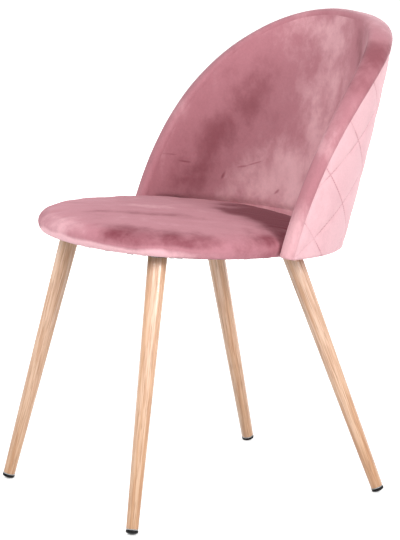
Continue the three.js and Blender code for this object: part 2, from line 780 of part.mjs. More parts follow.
for (const bracket of brackets) {
  const anchor = backPoint(bracket.s, 0, skirtThickness).applyMatrix4(toSeat);
  const inward = backInward(bracket.s, 0).transformDirection(toSeat);
  const level = Math.hypot(inward.x, inward.y);
  const group = new THREE.Group();
  group.position.set(anchor.x, anchor.y, 0);
  group.rotation.z = Math.atan2(-inward.x, inward.y);
  seatGroup.add(group);
  group.updateMatrix();

  // The bracket's section in the group's YZ plane, +Y pointing in under the seat
  const slope = -inward.z / level;
  const toGroup = seatGroup.matrixWorld.clone().multiply(group.matrix).invert();
  const corners = [-1, 1].flatMap((side) => [0, bracketTop].map((h) =>
    backPoint(bracket.s + (side * bracketWidth) / 2, h, skirtThickness).applyMatrix4(toGroup),
  ));
  const bow = Math.max(...corners.map((p) => p.y - slope * (p.z - anchor.z)));
  const faceAt = (z) => bow + bendGap + slope * (z - anchor.z);
  const seatEdge = Math.hypot(anchor.x, anchor.y) - seatRadius(Math.atan2(anchor.y, anchor.x));
  const knee = anchor.z + bracketLift;
  const top = anchor.z + bracketTop;
  const line = [
    new THREE.Vector2(seatEdge + bracketReach, bracketBase),
    new THREE.Vector2(seatEdge + bracketKnee, bracketBase),
    new THREE.Vector2(faceAt(knee), knee),
    new THREE.Vector2(faceAt(top), top),
  ];
  const section = strip(line, bracketThickness);
  const ends = [-bracketWidth / 2, bracketWidth / 2];
  const shape = sweep(ends.map((x) => section.map((p) => new THREE.Vector3(x, p.x, p.y))), 0);

  const boardScrewY = seatEdge + bracketReach - boardScrewInset;
  const headTop = bracketBase - seatingGap;
  const screwHole = screwDiameter + 2 * seatingGap;
  const boardScrew = turned(
    [
      [0, headTop - screwHeadHeight],
      [screwFaceDiameter / 2, headTop - screwHeadHeight],
      [screwHeadDiameter / 2, headTop],
      [screwDiameter / 2, headTop],
      [screwDiameter / 2, headTop + boardScrewLength],
      [0, headTop + boardScrewLength],
    ],
    smallFacets,
  ).translate(0, boardScrewY, 0);
  const drillTop = headTop + boardScrewLength + seatingGap;
  const drill = () => rod(screwHole, -overrun, drillTop).translate(0, boardScrewY, 0);
  boardHoles.push(drill().applyMatrix4(group.matrix));
  sheetHoles.push(drill().applyMatrix4(group.matrix));

  // Screws through the bracket's upright into the shell
  const holes = [drill()];
  const outward = new THREE.Vector3(0, -1, slope).normalize();
  const upright = new THREE.Quaternion().setFromUnitVectors(new THREE.Vector3(0, 0, 1), outward);
  const screwZ = anchor.z + shellScrewHeight;
  [-shellScrewSpacing / 2, shellScrewSpacing / 2].forEach((x, i) => {
    const seating = new THREE.Vector3(x, faceAt(screwZ), screwZ).addScaledVector(outward, -bracketThickness);
    const place = new THREE.Matrix4().compose(seating, upright, new THREE.Vector3(1, 1, 1));
    const screw = turned(
      [
        [0, -screwHeadHeight - seatingGap],
        [screwFaceDiameter / 2, -screwHeadHeight - seatingGap],
        [screwHeadDiameter / 2, -seatingGap],
        [screwDiameter / 2, -seatingGap],
        [screwDiameter / 2, shellScrewLength - seatingGap],
        [0, shellScrewLength - seatingGap],
      ],
      smallFacets,
    ).applyMatrix4(place);
    holes.push(rod(screwHole, -overrun / 4, overrun / 4).applyMatrix4(place));
    const drilled = rod(screwHole, -overrun / 4, shellScrewLength).applyMatrix4(place);
    drilled.applyMatrix4(group.matrix).applyMatrix4(seatGroup.matrixWorld);
    shellHoles.push(drilled);
    addPiece(group, `shell_screw_${bracket.name}_${i ? "b" : "a"}`, screw, 0x8f9092, 0.35, 1);
  });
  addPiece(group, `back_bracket_${bracket.name}`, cut(shape, ...holes), 0x2a2a2c, 0.5, 0.6);
  addPiece(group, `board_screw_${bracket.name}`, boardScrew, 0x8f9092, 0.35, 1);
}

addPiece(chair, "back_shell", cut(backShell, ...shellHoles), 0xd8b98a, 0.7, 0);
addPiece(chair, "back_padding", cut(padSheet, ...shellHoles), 0xe9dcb4, 0.95, 0);
addPiece(chair, "back_inner_cover", cut(innerCover, ...shellHoles), velvet, 0.85, 0);

// Seat board and the sheet under it, drilled for the bolts and screws

const board = seatBody([
  [0, 0, 0],
  [1, boardInset, 0],
  [1, boardInset, boardThickness],
  [0, 0, boardThickness],
]);
addPiece(seatGroup, "seat_board", cut(board, ...boardHoles), 0xd8b98a, 0.7, 0);

const sheetTop = -seatingGap;
const lapTop = coverBottom - seatingGap;
const stepInset = marginEdge + seatingGap + dustCoverThickness;
const dustCover = seatBody([
  [0, 0, sheetTop],
  [1, stepInset, sheetTop],
  [1, stepInset, lapTop],
  [1, marginEdge - dustCoverLap, lapTop],
  [1, marginEdge - dustCoverLap, lapTop - dustCoverThickness],
  [1, stepInset + dustCoverThickness, lapTop - dustCoverThickness],
  [1, stepInset + dustCoverThickness, sheetTop - dustCoverThickness],
  [0, 0, sheetTop - dustCoverThickness],
]);
addPiece(seatGroup, "seat_dust_cover", cut(dustCover, ...sheetHoles), 0x1c1c1e, 0.9, 0);

// The part's origin is on the floor, midway between its front and its rear.
chair.updateMatrixWorld(true);
const extent = new THREE.Box3().setFromObject(chair, true);
chair.position.y = -(extent.min.y + extent.max.y) / 2;
chair.updateMatrixWorld(true);

const part = new THREE.Group();
part.add(chair);

export default part;
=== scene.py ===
# %% [markdown]
# # A velvet chair with a scallop back
# This lesson dresses a finished CAD model of a dining chair: a round padded seat, a half-round back that
# wraps round it, and four splayed steel legs printed to look like oak. The CAD model gives every size and
# place. Blender adds what CAD leaves plain: pile, seams, quilting, grain and gloss.

# %% Load the frame
import json
import math
import random

import bpy
import numpy as np
from mathutils import Matrix, Vector, noise


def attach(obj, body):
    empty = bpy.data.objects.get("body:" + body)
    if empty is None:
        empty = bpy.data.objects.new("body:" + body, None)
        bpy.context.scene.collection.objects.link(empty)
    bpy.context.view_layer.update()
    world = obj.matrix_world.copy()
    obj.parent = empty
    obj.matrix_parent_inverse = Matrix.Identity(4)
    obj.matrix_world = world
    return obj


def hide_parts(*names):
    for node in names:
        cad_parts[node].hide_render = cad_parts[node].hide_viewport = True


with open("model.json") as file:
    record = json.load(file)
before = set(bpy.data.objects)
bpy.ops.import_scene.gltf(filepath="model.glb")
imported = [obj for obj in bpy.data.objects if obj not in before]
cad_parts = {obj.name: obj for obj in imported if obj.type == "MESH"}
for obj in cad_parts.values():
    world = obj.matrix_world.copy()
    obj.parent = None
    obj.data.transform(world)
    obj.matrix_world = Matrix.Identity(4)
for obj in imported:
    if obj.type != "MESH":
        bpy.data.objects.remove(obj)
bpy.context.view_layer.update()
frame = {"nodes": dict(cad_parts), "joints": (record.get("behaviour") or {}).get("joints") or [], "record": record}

nodes = frame["nodes"]
mm = 0.001
legs = ("front_left", "front_right", "rear_left", "rear_right")
noise_at = np.vectorize(lambda x, y, z: noise.noise((x, y, z)), otypes=[float])


def new_object(name, data):
    made = bpy.data.objects.new(name, data)
    bpy.context.scene.collection.objects.link(made)
    return made


# %% [markdown]
# ## The photographer's camera
# A long lens from the front right, a little above the seat. Its place and lens come from fitting the
# chair's outlines to the photograph, so the camera is made first and everything is judged through it.

# %% Camera
right = Vector((0.53032, 0.84780, 0.0))
back = Vector((0.82864, -0.51834, 0.21138))
up = back.cross(right)
focal_pixels, picture_height, sensor = 3696.16, 540, 36
camera_data = bpy.data.cameras.new("camera")
camera = new_object("camera", camera_data)
camera.matrix_world = Matrix((right, up, back)).transposed().to_4x4()
camera.location = (4.95004, -3.12335, 1.61985)
camera_data.sensor_fit = "VERTICAL"
camera_data.sensor_width = sensor
camera_data.sensor_height = sensor
camera_data.lens = focal_pixels / picture_height * sensor
camera_data.clip_end = 100
bpy.context.scene.camera = camera
print("lens", round(camera_data.lens, 1), "mm on a sensor of", sensor)

# %% [markdown]
# ## Small helpers for nodes
# A material is a tree of nodes. These helpers add one node with its settings and inputs in one line, so
# that each finish below reads like a recipe. A value that is the same all over is set on the socket itself.

# %% Node helpers
def feed(tree, node, inputs):
    for label, value in inputs.items():
        if isinstance(value, bpy.types.NodeSocket):
            tree.links.new(value, node.inputs[label])
        else:
            node.inputs[label].default_value = value


def add(tree, kind, inputs=None, **settings):
    made = tree.nodes.new(kind)
    for name, value in settings.items():
        setattr(made, name, value)
    feed(tree, made, inputs or {})
    return made


def maths(tree, operation, *values):
    return add(tree, "ShaderNodeMath", dict(enumerate(values)), operation=operation).outputs[0]


def vector_maths(tree, operation, *values):
    return add(tree, "ShaderNodeVectorMath", dict(enumerate(values)), operation=operation).outputs[0]


def mix_colour(tree, factor, first, second, blend="MIX"):
    made = add(tree, "ShaderNodeMix", {0: factor, 6: first, 7: second}, data_type="RGBA", blend_type=blend)
    return made.outputs[2]


def ramp(tree, value, low, high, to_low=0.0, to_high=1.0):
    inputs = {0: value, 1: low, 2: high, 3: to_low, 4: to_high}
    return add(tree, "ShaderNodeMapRange", inputs, interpolation_type="SMOOTHSTEP").outputs[0]


def speckle(tree, where, scale, detail, roughness=0.5, distortion=0.0):
    return add(tree, "ShaderNodeTexNoise", {
        "Vector": where, "Scale": scale, "Detail": detail, "Roughness": roughness, "Distortion": distortion})


def bump(tree, height, strength, distance):
    return add(tree, "ShaderNodeBump", {"Height": height, "Strength": strength, "Distance": distance})


def object_place(tree):
    return add(tree, "ShaderNodeTexCoord").outputs["Object"]


def sheet_place(tree):
    return add(tree, "ShaderNodeUVMap", uv_map="sheet").outputs[0]


def colour(hex_code):
    parts = [int(hex_code[i:i + 2], 16) / 255 for i in (0, 2, 4)]
    return tuple(p / 12.92 if p <= 0.04045 else ((p + 0.055) / 1.055) ** 2.4 for p in parts) + (1,)


# %% [markdown]
# A finish starts as Blender's all-round shader. What several finishes share becomes a node group, which is
# built once, has its own inputs and outputs, and is placed in each material like a node.

# %% Materials and groups
def material(name):
    made = bpy.data.materials.new(name)
    made.use_nodes = True
    return made, made.node_tree, made.node_tree.nodes["Principled BSDF"]


def group(name, inputs, outputs):
    made = bpy.data.node_groups.new(name, "ShaderNodeTree")
    for label, value in inputs.items():
        kind = "NodeSocketFloat" if isinstance(value, float) else "NodeSocketVector"
        socket = made.interface.new_socket(label, in_out="INPUT", socket_type=kind)
        if value is not None:
            socket.default_value = value
    for label in outputs:
        made.interface.new_socket(label, in_out="OUTPUT", socket_type="NodeSocketFloat")
    print("group", name, list(inputs), "to", outputs)
    return made, made.nodes.new("NodeGroupInput").outputs, made.nodes.new("NodeGroupOutput")


def place_group(tree, made, inputs):
    return add(tree, "ShaderNodeGroup", inputs, node_tree=made).outputs


# %% [markdown]
# ## Soft daylight from the right
# Velvet shows its pile only when light grazes it, so one low soft lamp stands to the right, where the
# photograph's brightest side is, and it throws the wing's shadow across the rear of the seat. Two higher
# lamps fill from the front, and a faint one behind draws the rim. A pale world keeps the shadows open.
# What the camera and the reflections see of it is plain white, and what lights the chair is dimmer.

# %% Lights and world
def area_light(name, bearing, height_angle, size, energy, distance=3.0):
    turn, climb = math.radians(bearing), math.radians(height_angle)
    aim = Vector((math.cos(climb) * math.cos(turn), math.cos(climb) * math.sin(turn), math.sin(climb)))
    data = bpy.data.lights.new(name, "AREA")
    data.shape = "DISK"
    data.size = size
    data.energy = energy
    lamp = new_object(name, data)
    lamp.location = Vector((0, 0, 0.5)) + aim * distance
    lamp.rotation_euler = (-aim).to_track_quat("-Z", "Y").to_euler()
    print("lamp", name, energy, "W")


def seen_directly(tree):
    path = add(tree, "ShaderNodeLightPath").outputs
    seen = maths(tree, "MAXIMUM", path["Is Camera Ray"], path["Is Transmission Ray"])
    return maths(tree, "MAXIMUM", seen, path["Is Glossy Ray"])


area_light("right", 12, 24, 1.2, 58)
area_light("front_right", 300, 42, 1.6, 40)
area_light("front_left", 250, 40, 1.6, 30)
area_light("behind", 120, 20, 1.6, 45)

world = bpy.data.worlds.new("studio")
bpy.context.scene.world = world
world.use_nodes = True
sky = world.node_tree
sky.nodes.clear()
white_sky = add(sky, "ShaderNodeBackground", {"Color": (1, 1, 1, 1), "Strength": 1.0}).outputs[0]
soft_sky = add(sky, "ShaderNodeBackground", {"Color": (0.97, 0.98, 1.0, 1), "Strength": 0.3}).outputs[0]
both_skies = add(sky, "ShaderNodeMixShader", {0: seen_directly(sky), 1: soft_sky, 2: white_sky}).outputs[0]
add(sky, "ShaderNodeOutputWorld", {"Surface": both_skies})
bpy.context.scene.view_settings.view_transform = "Standard"

# %% [markdown]
# ## Velvet
# Velvet is a short pile. Where a hand has brushed it one way it looks dark, where it lies the other way it
# looks pale, and at a grazing angle the tips of the pile shine. The group below gives three things: soft
# brushed patches, a mottle inside them, and the pile's own fine grain. The pale edge glow is the shader's
# sheen, which is set on the shader itself.

# %% Velvet group
pile, pile_in, pile_out = group(
    "brushed_pile",
    {"Vector": None, "Patch Scale": 6.0, "Mottle Scale": 30.0, "Stretch": (1, 1, 1)},
    ["Patch", "Mottle", "Height"],
)
stretched = vector_maths(pile, "MULTIPLY", pile_in["Vector"], pile_in["Stretch"])
patches = speckle(pile, stretched, pile_in["Patch Scale"], 2.5, distortion=0.6).outputs[0]
mottles = speckle(pile, stretched, pile_in["Mottle Scale"], 4.0, 0.62).outputs[0]
fibres = speckle(pile, pile_in["Vector"], 1400.0, 2.0, 0.7).outputs[0]
weaves = speckle(pile, pile_in["Vector"], 260.0, 3.0, 0.6).outputs[0]
feed(pile, pile_out, {
    "Patch": ramp(pile, patches, 0.36, 0.64),
    "Mottle": ramp(pile, mottles, 0.3, 0.7),
    "Height": maths(pile, "MULTIPLY_ADD", fibres, 0.6, maths(pile, "MULTIPLY", weaves, 0.4)),
})

# %% [markdown]
# The photograph shows some patches where a hand has clearly pressed or brushed the pile. A second group makes one
# such patch: a soft ellipse at a place on the chair, with a wavy edge. The same patch also paints light and shade
# on the velvet, where a mark stands for a cast shadow, a shaded crease or an edge made paler against its shade.

# %% Patch group for brushed pile and painted light and shade
pile_and_shade, pile_and_shade_in, pile_and_shade_out = group(
    "pile_and_shade_patch",
    {"Vector": None, "Centre": (0, 0, 0), "Turn": 0.0, "Size": (0.1, 0.1, 0.1), "Edge": 0.5},
    ["Mask"],
)
waver = speckle(pile_and_shade, pile_and_shade_in["Vector"], 12.0, 1.5).outputs["Color"]
off_middle = vector_maths(pile_and_shade, "SUBTRACT", waver, (0.5, 0.5, 0.5))
shake = vector_maths(pile_and_shade, "MULTIPLY", off_middle, (0.75, 0.75, 0.75))
from_centre = vector_maths(pile_and_shade, "SUBTRACT", pile_and_shade_in["Vector"], pile_and_shade_in["Centre"])
turned = add(pile_and_shade, "ShaderNodeVectorRotate", {"Vector": from_centre, "Angle": pile_and_shade_in["Turn"]},
             rotation_type="Z_AXIS").outputs[0]
scaled = vector_maths(pile_and_shade, "ADD", vector_maths(pile_and_shade, "DIVIDE", turned, pile_and_shade_in["Size"]), shake)
outwards = add(pile_and_shade, "ShaderNodeVectorMath", {0: scaled}, operation="LENGTH").outputs["Value"]
core = maths(pile_and_shade, "SUBTRACT", 1.0, pile_and_shade_in["Edge"])
feed(pile_and_shade, pile_and_shade_out, {"Mask": ramp(pile_and_shade, outwards, 1.0, core)})

# %% [markdown]
# One level from 0 to 1 says how pale the velvet is at each place: patches, mottle and marks all add to it, and the
# marks are brushed pile or painted light and shade. It then blends three tones, and it also decides how rough the
# pile looks.

# %% Velvet material
def velvet(name, tones, stretch, scale, marks=(), sheen=0.5, contrast=0.8, scuffs=0.0, flat=False):
    made, tree, shader = material(name)
    where = object_place(tree)
    nap = place_group(tree, pile, {
        "Vector": where, "Patch Scale": scale, "Mottle Scale": 26.0, "Stretch": stretch})
    even = 0.5 - 0.25 * contrast - 0.5 * scuffs
    level = maths(tree, "MULTIPLY_ADD", nap["Patch"], 0.26 * contrast, even)
    level = maths(tree, "MULTIPLY_ADD", nap["Mottle"], 0.24 * contrast + scuffs, level)
    spread = sheet_place(tree) if flat else where
    # Each mark adds brushed pile, or painted light or shade, as noted at each mark.
    for centre, turn, size, edge, amount in marks:
        mark = place_group(tree, pile_and_shade, {
            "Vector": spread, "Centre": centre, "Turn": math.radians(turn), "Size": size, "Edge": edge})
        level = maths(tree, "MULTIPLY_ADD", mark["Mask"], amount, level)
    deep, middle, pale = (colour(tone) for tone in tones)
    tint = mix_colour(tree, ramp(tree, level, 0.0, 0.5), deep, middle)
    tint = mix_colour(tree, ramp(tree, level, 0.5, 1.0), tint, pale)
    tips = ramp(tree, nap["Height"], 0.35, 0.65, 0.95, 1.05)
    tips = add(tree, "ShaderNodeCombineColor", {0: tips, 1: tips, 2: tips}).outputs[0]
    relief = maths(tree, "MULTIPLY_ADD", nap["Mottle"], 0.4, nap["Height"])
    feed(tree, shader, {
        "Base Color": mix_colour(tree, 1.0, tint, tips, "MULTIPLY"),
        "Roughness": ramp(tree, level, 0.0, 1.0, 0.95, 0.82),
        "Normal": bump(tree, relief, 0.22, 0.5 * mm).outputs[0],
        "Specular IOR Level": 0.15,
        "Sheen Weight": sheen,
        "Sheen Roughness": 0.4,
        "Sheen Tint": (1.0, 0.84, 0.87, 1),
    })
    print("velvet", name, "with", len(marks), "marks")
    return made


# %% [markdown]
# The marks below follow the photograph. Each has its middle, its turn in degrees, its half sizes, how soft its
# edge is, and how much paler it makes the velvet. Most are brushed pile, and those noted below paint light or
# shade. The inner cover's marks are placed by s and h on the flat cloth, and its last six are painted shade along
# short pressed creases.

# %% Seat, inner and rim velvet
seat_tones = ("762f3c", "bc808a", "f4c2c9")
rose = ("8f525b", "b47982", "e0aeb4")
seat_marks = [
    ((0.14, -0.215, 0.458), -40, (0.2, 0.075, 0.05), 1.0, -0.3),
    ((0.06, -0.27, 0.463), -15, (0.05, 0.03, 0.02), 1.0, 0.16),
    # Painted light: these two make the seat's front edge and its downward-facing lip paler, against the shade that
    # falls on the lip.
    ((0.06, -0.255, 0.432), -30, (0.24, 0.1, 0.02), 0.8, 1.2),
    ((0.0, -0.29, 0.455), 0, (0.16, 0.06, 0.06), 0.9, 0.25),
    # Painted shadow, partly brushed pile: the large dark wedge across the rear of the seat stands for the right
    # wing's cast shadow.
    ((0.09, 0.1, 0.46), 14, (0.31, 0.145, 0.05), 0.85, -1.0),
    # Painted shade: the seat's right end is darkened beside the foot of the wing, in the gap between seat and
    # back.
    ((0.2, -0.03, 0.44), 0, (0.08, 0.12, 0.1), 1.0, -0.18),
    ((0.0, -0.15, 0.47), -58, (0.17, 0.026, 0.1), 1.0, -0.22),
    ((0.06, -0.09, 0.47), -50, (0.12, 0.03, 0.1), 1.0, -0.16),
    ((-0.05, -0.1, 0.47), -58, (0.14, 0.03, 0.1), 1.0, 0.1),
]
cloth_marks = (
    # Partly brushed pile, partly painted shade: the broad dark patch in the middle of the inner back.
    (-0.215, 0.165, -60, 0.19, 0.085, 1.0, -0.34),
    (-0.262, 0.055, -60, 0.07, 0.035, 0.9, -0.2),
    (-0.02, 0.2, -80, 0.22, 0.1, 1.0, 0.36),
    # Painted light: the inner back is made paler low down, just above the seat, to offset the seat's shade there.
    (-0.09, 0.06, 0, 0.17, 0.09, 1.0, 0.36),
    (-0.07, 0.32, 0, 0.16, 0.06, 1.0, 0.22),
    (-0.33, 0.14, -75, 0.12, 0.035, 0.9, 0.12),
    (0.19, 0.06, 0, 0.12, 0.08, 0.9, 0.2),
    (0.16, 0.2, 60, 0.14, 0.07, 0.9, -0.18),
    (0.08, 0.3, 45, 0.09, 0.035, 0.9, -0.25),
    # Painted shade: these six are dark lines along short creases, which the back's shape also dents.
    (-0.207, 0.062, -75, 0.009, 0.004, 0.8, -0.4),
    (-0.174, 0.079, -10, 0.014, 0.002, 0.8, -0.3),
    (-0.150, 0.086, -18, 0.02, 0.002, 0.8, -0.25),
    (-0.319, 0.095, 4, 0.02, 0.002, 0.8, -0.25),
    (-0.285, 0.083, 6, 0.016, 0.002, 0.8, -0.25),
    (-0.09, 0.046, -40, 0.009, 0.003, 0.8, -0.3),
)
inner_marks = [((s, h, 0), turn, (long, wide, 1), *rest) for s, h, turn, long, wide, *rest in cloth_marks]
band_marks = [
    ((-0.21, 0.03, 0.52), 0, (0.05, 0.08, 0.16), 0.8, 0.12),
    # Painted light and shade on the right wing's band: paler at the foot and low down, darker high up.
    ((0.24, -0.02, 0.44), 0, (0.09, 0.12, 0.10), 0.9, 0.5),
    ((0.2, 0.1, 0.56), 0, (0.09, 0.12, 0.10), 0.9, 0.12),
    ((0.17, 0.2, 0.68), 0, (0.08, 0.12, 0.09), 0.7, -0.15),
    ((0.155, 0.225, 0.712), 0, (0.05, 0.09, 0.06), 0.8, -0.3),
    ((0.0, 0.33, 0.76), 0, (0.2, 0.1, 0.04), 0.7, -0.2),
]
seat_velvet = velvet("seat_velvet", seat_tones, (1.0, 1.0, 1.0), 7.0, seat_marks, sheen=0.18, contrast=0.42,
                     scuffs=0.06)
inner_velvet = velvet("inner_velvet", rose, (1.2, 1.2, 0.9), 8.0, inner_marks, contrast=0.45, scuffs=0.1,
                      flat=True)
band_velvet = velvet("band_velvet", rose, (1.5, 1.5, 0.6), 6.0, band_marks)

# %% [markdown]
# ## Where the seat and the back lie
# Both soft parts follow curves that the CAD model is built on. The seat's outline is a superellipse, a
# little squarer than a circle. The back is one flat half disc bent round the seat: s runs along it from
# its middle, h runs up it, and depth goes from its outer face inwards. Writing these maps once lets every
# cover, seam and stitch be placed by s, h and depth, as on the flat cloth.

# %% Seat map
seat_half_width, seat_front, seat_rear = 220 * mm, 230 * mm, 216 * mm
seat_power = 2.05
seat_tilt = math.radians(4.6)
seat_y = -66.9235 * mm
seat_place = Matrix.Translation((0, seat_y, 419 * mm)) @ Matrix.Rotation(-seat_tilt, 4, "X")
to_seat = seat_place.inverted()
print("seat", round(2 * seat_half_width / mm), "mm wide,", round((seat_front + seat_rear) / mm), "mm deep")


def seat_radius(angle):
    depth = seat_front if math.sin(angle) < 0 else seat_rear
    sideways = abs(math.cos(angle) / seat_half_width) ** seat_power
    lengthways = abs(math.sin(angle) / depth) ** seat_power
    return (sideways + lengthways) ** (-1 / seat_power)


def seat_point(angle, radius, height):
    return seat_place @ Vector((radius * math.cos(angle), radius * math.sin(angle), height))


# %% Back map
sheet_half_width = sheet_height = 353 * mm
plan_power = 2.16
plan_turn = np.linspace(math.pi / 2, 0, 401)
plan_x = 245 * mm * np.cos(plan_turn) ** (2 / plan_power)
plan_y = 270 * mm * np.sin(plan_turn) ** (2 / plan_power)
plan_arc = np.concatenate([[0], np.cumsum(np.hypot(np.diff(plan_x), np.diff(plan_y)))])
print("half of the back's plan curve", round(plan_arc[-1], 4), "m")


def sheet_point(s, h):
    x = np.sign(s) * np.interp(np.abs(s), plan_arc, plan_x)
    y = np.interp(np.abs(s), plan_arc, plan_y) - 5.6 * mm
    rise = h / sheet_height
    lean = 101 * mm * rise + 4.5 * mm * np.sin(math.pi * rise)
    return np.stack([x, y + lean + seat_y, 418.8 * mm - math.tan(seat_tilt) * y + h], -1)


def back_inward(s, h):
    step = 0.7 * mm
    across = sheet_point(s + step, h) - sheet_point(s - step, h)
    upwards = sheet_point(s, h + step) - sheet_point(s, h - step)
    normal = np.cross(across, upwards)
    return normal / np.linalg.norm(normal, axis=-1, keepdims=True)


def back_point(s, h, depth):
    return sheet_point(s, h) + back_inward(s, h) * depth[..., None]


# %% [markdown]
# The back's padding is thin at its foot, where the brackets stand, and swells above them into a roll. It is
# fullest at the top and has a slight extra swell at the middle, where a sitter's back rests.

# %% Back thickness
def smooth(value, low, high):
    share = np.clip((value - low) / (high - low), 0, 1)
    return share * share * (3 - 2 * share)


def back_thickness(s, h):
    rise = np.clip(h / sheet_height, 0, 1)
    spread = np.hypot(s / sheet_half_width, rise)
    loin = 7 * mm * np.maximum(0, 1 - spread ** 2) * smooth(h, 34 * mm, 102 * mm)
    full = 28 * mm + 16 * mm * rise ** 2 + loin
    above_brackets = smooth(h, 20.5 * mm, 27.5 * mm)
    beside_brackets = smooth(np.abs(s), 306 * mm, 329 * mm)
    share = np.maximum(above_brackets, beside_brackets)
    return 18.9 * mm * (1 - share) + full * share


# %% [markdown]
# ## Mesh helpers
# A soft piece is a grid of points. The helpers below list the grid's faces, make an object of them, merge
# what meets, turn the faces outwards and smooth the shading. A modifier is added and applied in one go.

# %% Mesh helpers
def deselect():
    if bpy.context.object and bpy.context.object.mode != "OBJECT":
        bpy.ops.object.mode_set(mode="OBJECT")
    bpy.ops.object.select_all(action="DESELECT")


def choose(piece):
    deselect()
    piece.select_set(True)
    bpy.context.view_layer.objects.active = piece


def modify(piece, kind, **settings):
    choose(piece)
    made = piece.modifiers.new(kind.lower(), kind)
    for name, value in settings.items():
        setattr(made, name, value)
    bpy.ops.object.modifier_apply(modifier=made.name)


def shade(degrees):
    bpy.ops.object.shade_smooth_by_angle(angle=math.radians(degrees))


def close_up(degrees):
    bpy.ops.mesh.select_all(action="SELECT")
    bpy.ops.mesh.remove_doubles(threshold=0.01 * mm)
    bpy.ops.mesh.normals_make_consistent(inside=False)
    bpy.ops.object.mode_set(mode="OBJECT")
    shade(degrees)


def quads(rows, columns, around=False, closed=False):
    faces = []
    for i in range(rows if around else rows - 1):
        row, ahead = i * columns, (i + 1) % rows * columns
        for j in range(columns if closed else columns - 1):
            k = (j + 1) % columns
            faces.append((row + j, row + k, ahead + k, ahead + j))
    return faces


def flipped(faces, shift):
    return [(a + shift, d + shift, c + shift, b + shift) for a, b, c, d in faces]


def mesh_piece(name, points, faces, uvs=None):
    data = bpy.data.meshes.new(name)
    data.from_pydata([tuple(p) for p in points], [], faces)
    piece = new_object(name, data)
    if uvs is not None:
        layer = data.uv_layers.new(name="sheet")
        index = np.zeros(len(data.loops), int)
        data.loops.foreach_get("vertex_index", index)
        layer.data.foreach_set("uv", np.asarray(uvs, float)[index].ravel())
    choose(piece)
    bpy.ops.object.mode_set(mode="EDIT")
    close_up(50)
    return piece


# %% Finishing helpers
def finish_piece(piece, finish, body="chair", replaces=()):
    piece.data.materials.clear()
    piece.data.materials.append(finish)
    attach(piece, body)
    if replaces:
        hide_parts(*replaces)
    print(piece.name, len(piece.data.polygons), "faces")


def vertex_values(piece, what):
    values = np.zeros(len(piece.data.vertices) * 3)
    piece.data.vertices.foreach_get(what, values)
    return values.reshape(-1, 3)


def set_points(piece, points):
    piece.data.vertices.foreach_set("co", np.asarray(points, float).ravel())
    piece.data.update()


# %% [markdown]
# ## The seat cushion
# On the real chair a slab of foam sits on a plywood board, and one piece of velvet is pulled over it and
# stapled underneath. The foam pushes the cloth out everywhere except where the staples hold it. That is
# what Blender's cloth with pressure does: the underside is held, the rest swells, and a cap keeps it
# tight. The closed body is made from the outline first, a little too small at the top. Its rim is made
# 3 mm too wide, because the tight cloth draws it in again.

# %% Seat body
def round_body(name, profile, steps):
    points = []
    for i in range(steps):
        angle = 2 * math.pi * i / steps
        for share, inset, height in profile:
            points.append(seat_point(angle, share * (seat_radius(angle) - inset), height))
    return mesh_piece(name, points, quads(steps, len(profile), around=True))


def seat_profile(within):
    bottom, waist, top = -2.3 * mm, 11.3 * mm, 32.3 * mm - within
    rim, low_inset, high_inset = within - 3 * mm, 15 * mm, 26 * mm
    profile = [(0, 0, bottom), (0.5, low_inset, bottom), (0.9, low_inset, bottom)]
    for i in range(9):
        turn = math.pi / 2 * (1 - i / 8)
        inset = low_inset - (low_inset - rim) * math.cos(turn) ** (2 / 2.1)
        profile.append((1, inset, waist + (bottom - waist) * math.sin(turn) ** (2 / 2.1)))
    for i in range(1, 11):
        turn = math.pi / 2 * i / 10
        inset = high_inset - (high_inset - rim) * math.cos(turn) ** (2 / 2.1)
        profile.append((1, inset, waist + (top - waist) * math.sin(turn) ** (2 / 2.1)))
    for share in (0.95, 0.9, 0.8, 0.65, 0.5, 0.35, 0.2, 0.0):
        profile.append((share, high_inset, top + 8 * mm * (1 - share ** 2)))
    return profile


seat_cushion = round_body("seat_cushion", seat_profile(1.6 * mm), 144)
print("seat body", len(seat_cushion.data.vertices), "points")


# %% Seat in cloth
def swell(piece, voxel, pressure, cap, held, last_frame=20):
    modify(piece, "REMESH", mode="VOXEL", voxel_size=voxel)
    before = vertex_values(piece, "co")
    pinned = piece.vertex_groups.new(name="held")
    pinned.add([i for i, p in enumerate(before) if held(p)], 1.0, "REPLACE")
    cloth = piece.modifiers.new("swell", "CLOTH")
    cloth.settings.vertex_group_mass = "held"
    cloth.settings.use_pressure = True
    cloth.settings.uniform_pressure_force = pressure
    cloth.settings.effector_weights.gravity = 0
    cloth.settings.quality = 4
    cloth.point_cache.frame_start = 1
    cloth.point_cache.frame_end = last_frame
    for step in range(1, last_frame + 1):
        bpy.context.scene.frame_set(step)
    bpy.ops.object.modifier_apply(modifier=cloth.name)
    move = vertex_values(piece, "co") - before
    length = np.linalg.norm(move, axis=1, keepdims=True)
    set_points(piece, before + move * np.minimum(1, cap / np.maximum(length, 1e-9)))
    piece.vertex_groups.clear()
    bpy.context.scene.frame_set(1)
    print("swelled by up to", round(float(length.max()) / mm, 1), "mm, of which", round(cap / mm, 1), "is kept")


swell(seat_cushion, 5 * mm, 4.0, 2.4 * mm, lambda p: (to_seat @ Vector(p)).z < 1.5 * mm)
modify(seat_cushion, "SUBSURF", levels=1, render_levels=1)

# %% [markdown]
# Nobody pulls velvet perfectly flat. A few long shallow creases run across the seat, and short gathers
# show low on its side, where the cloth is drawn round the curve to the staples.

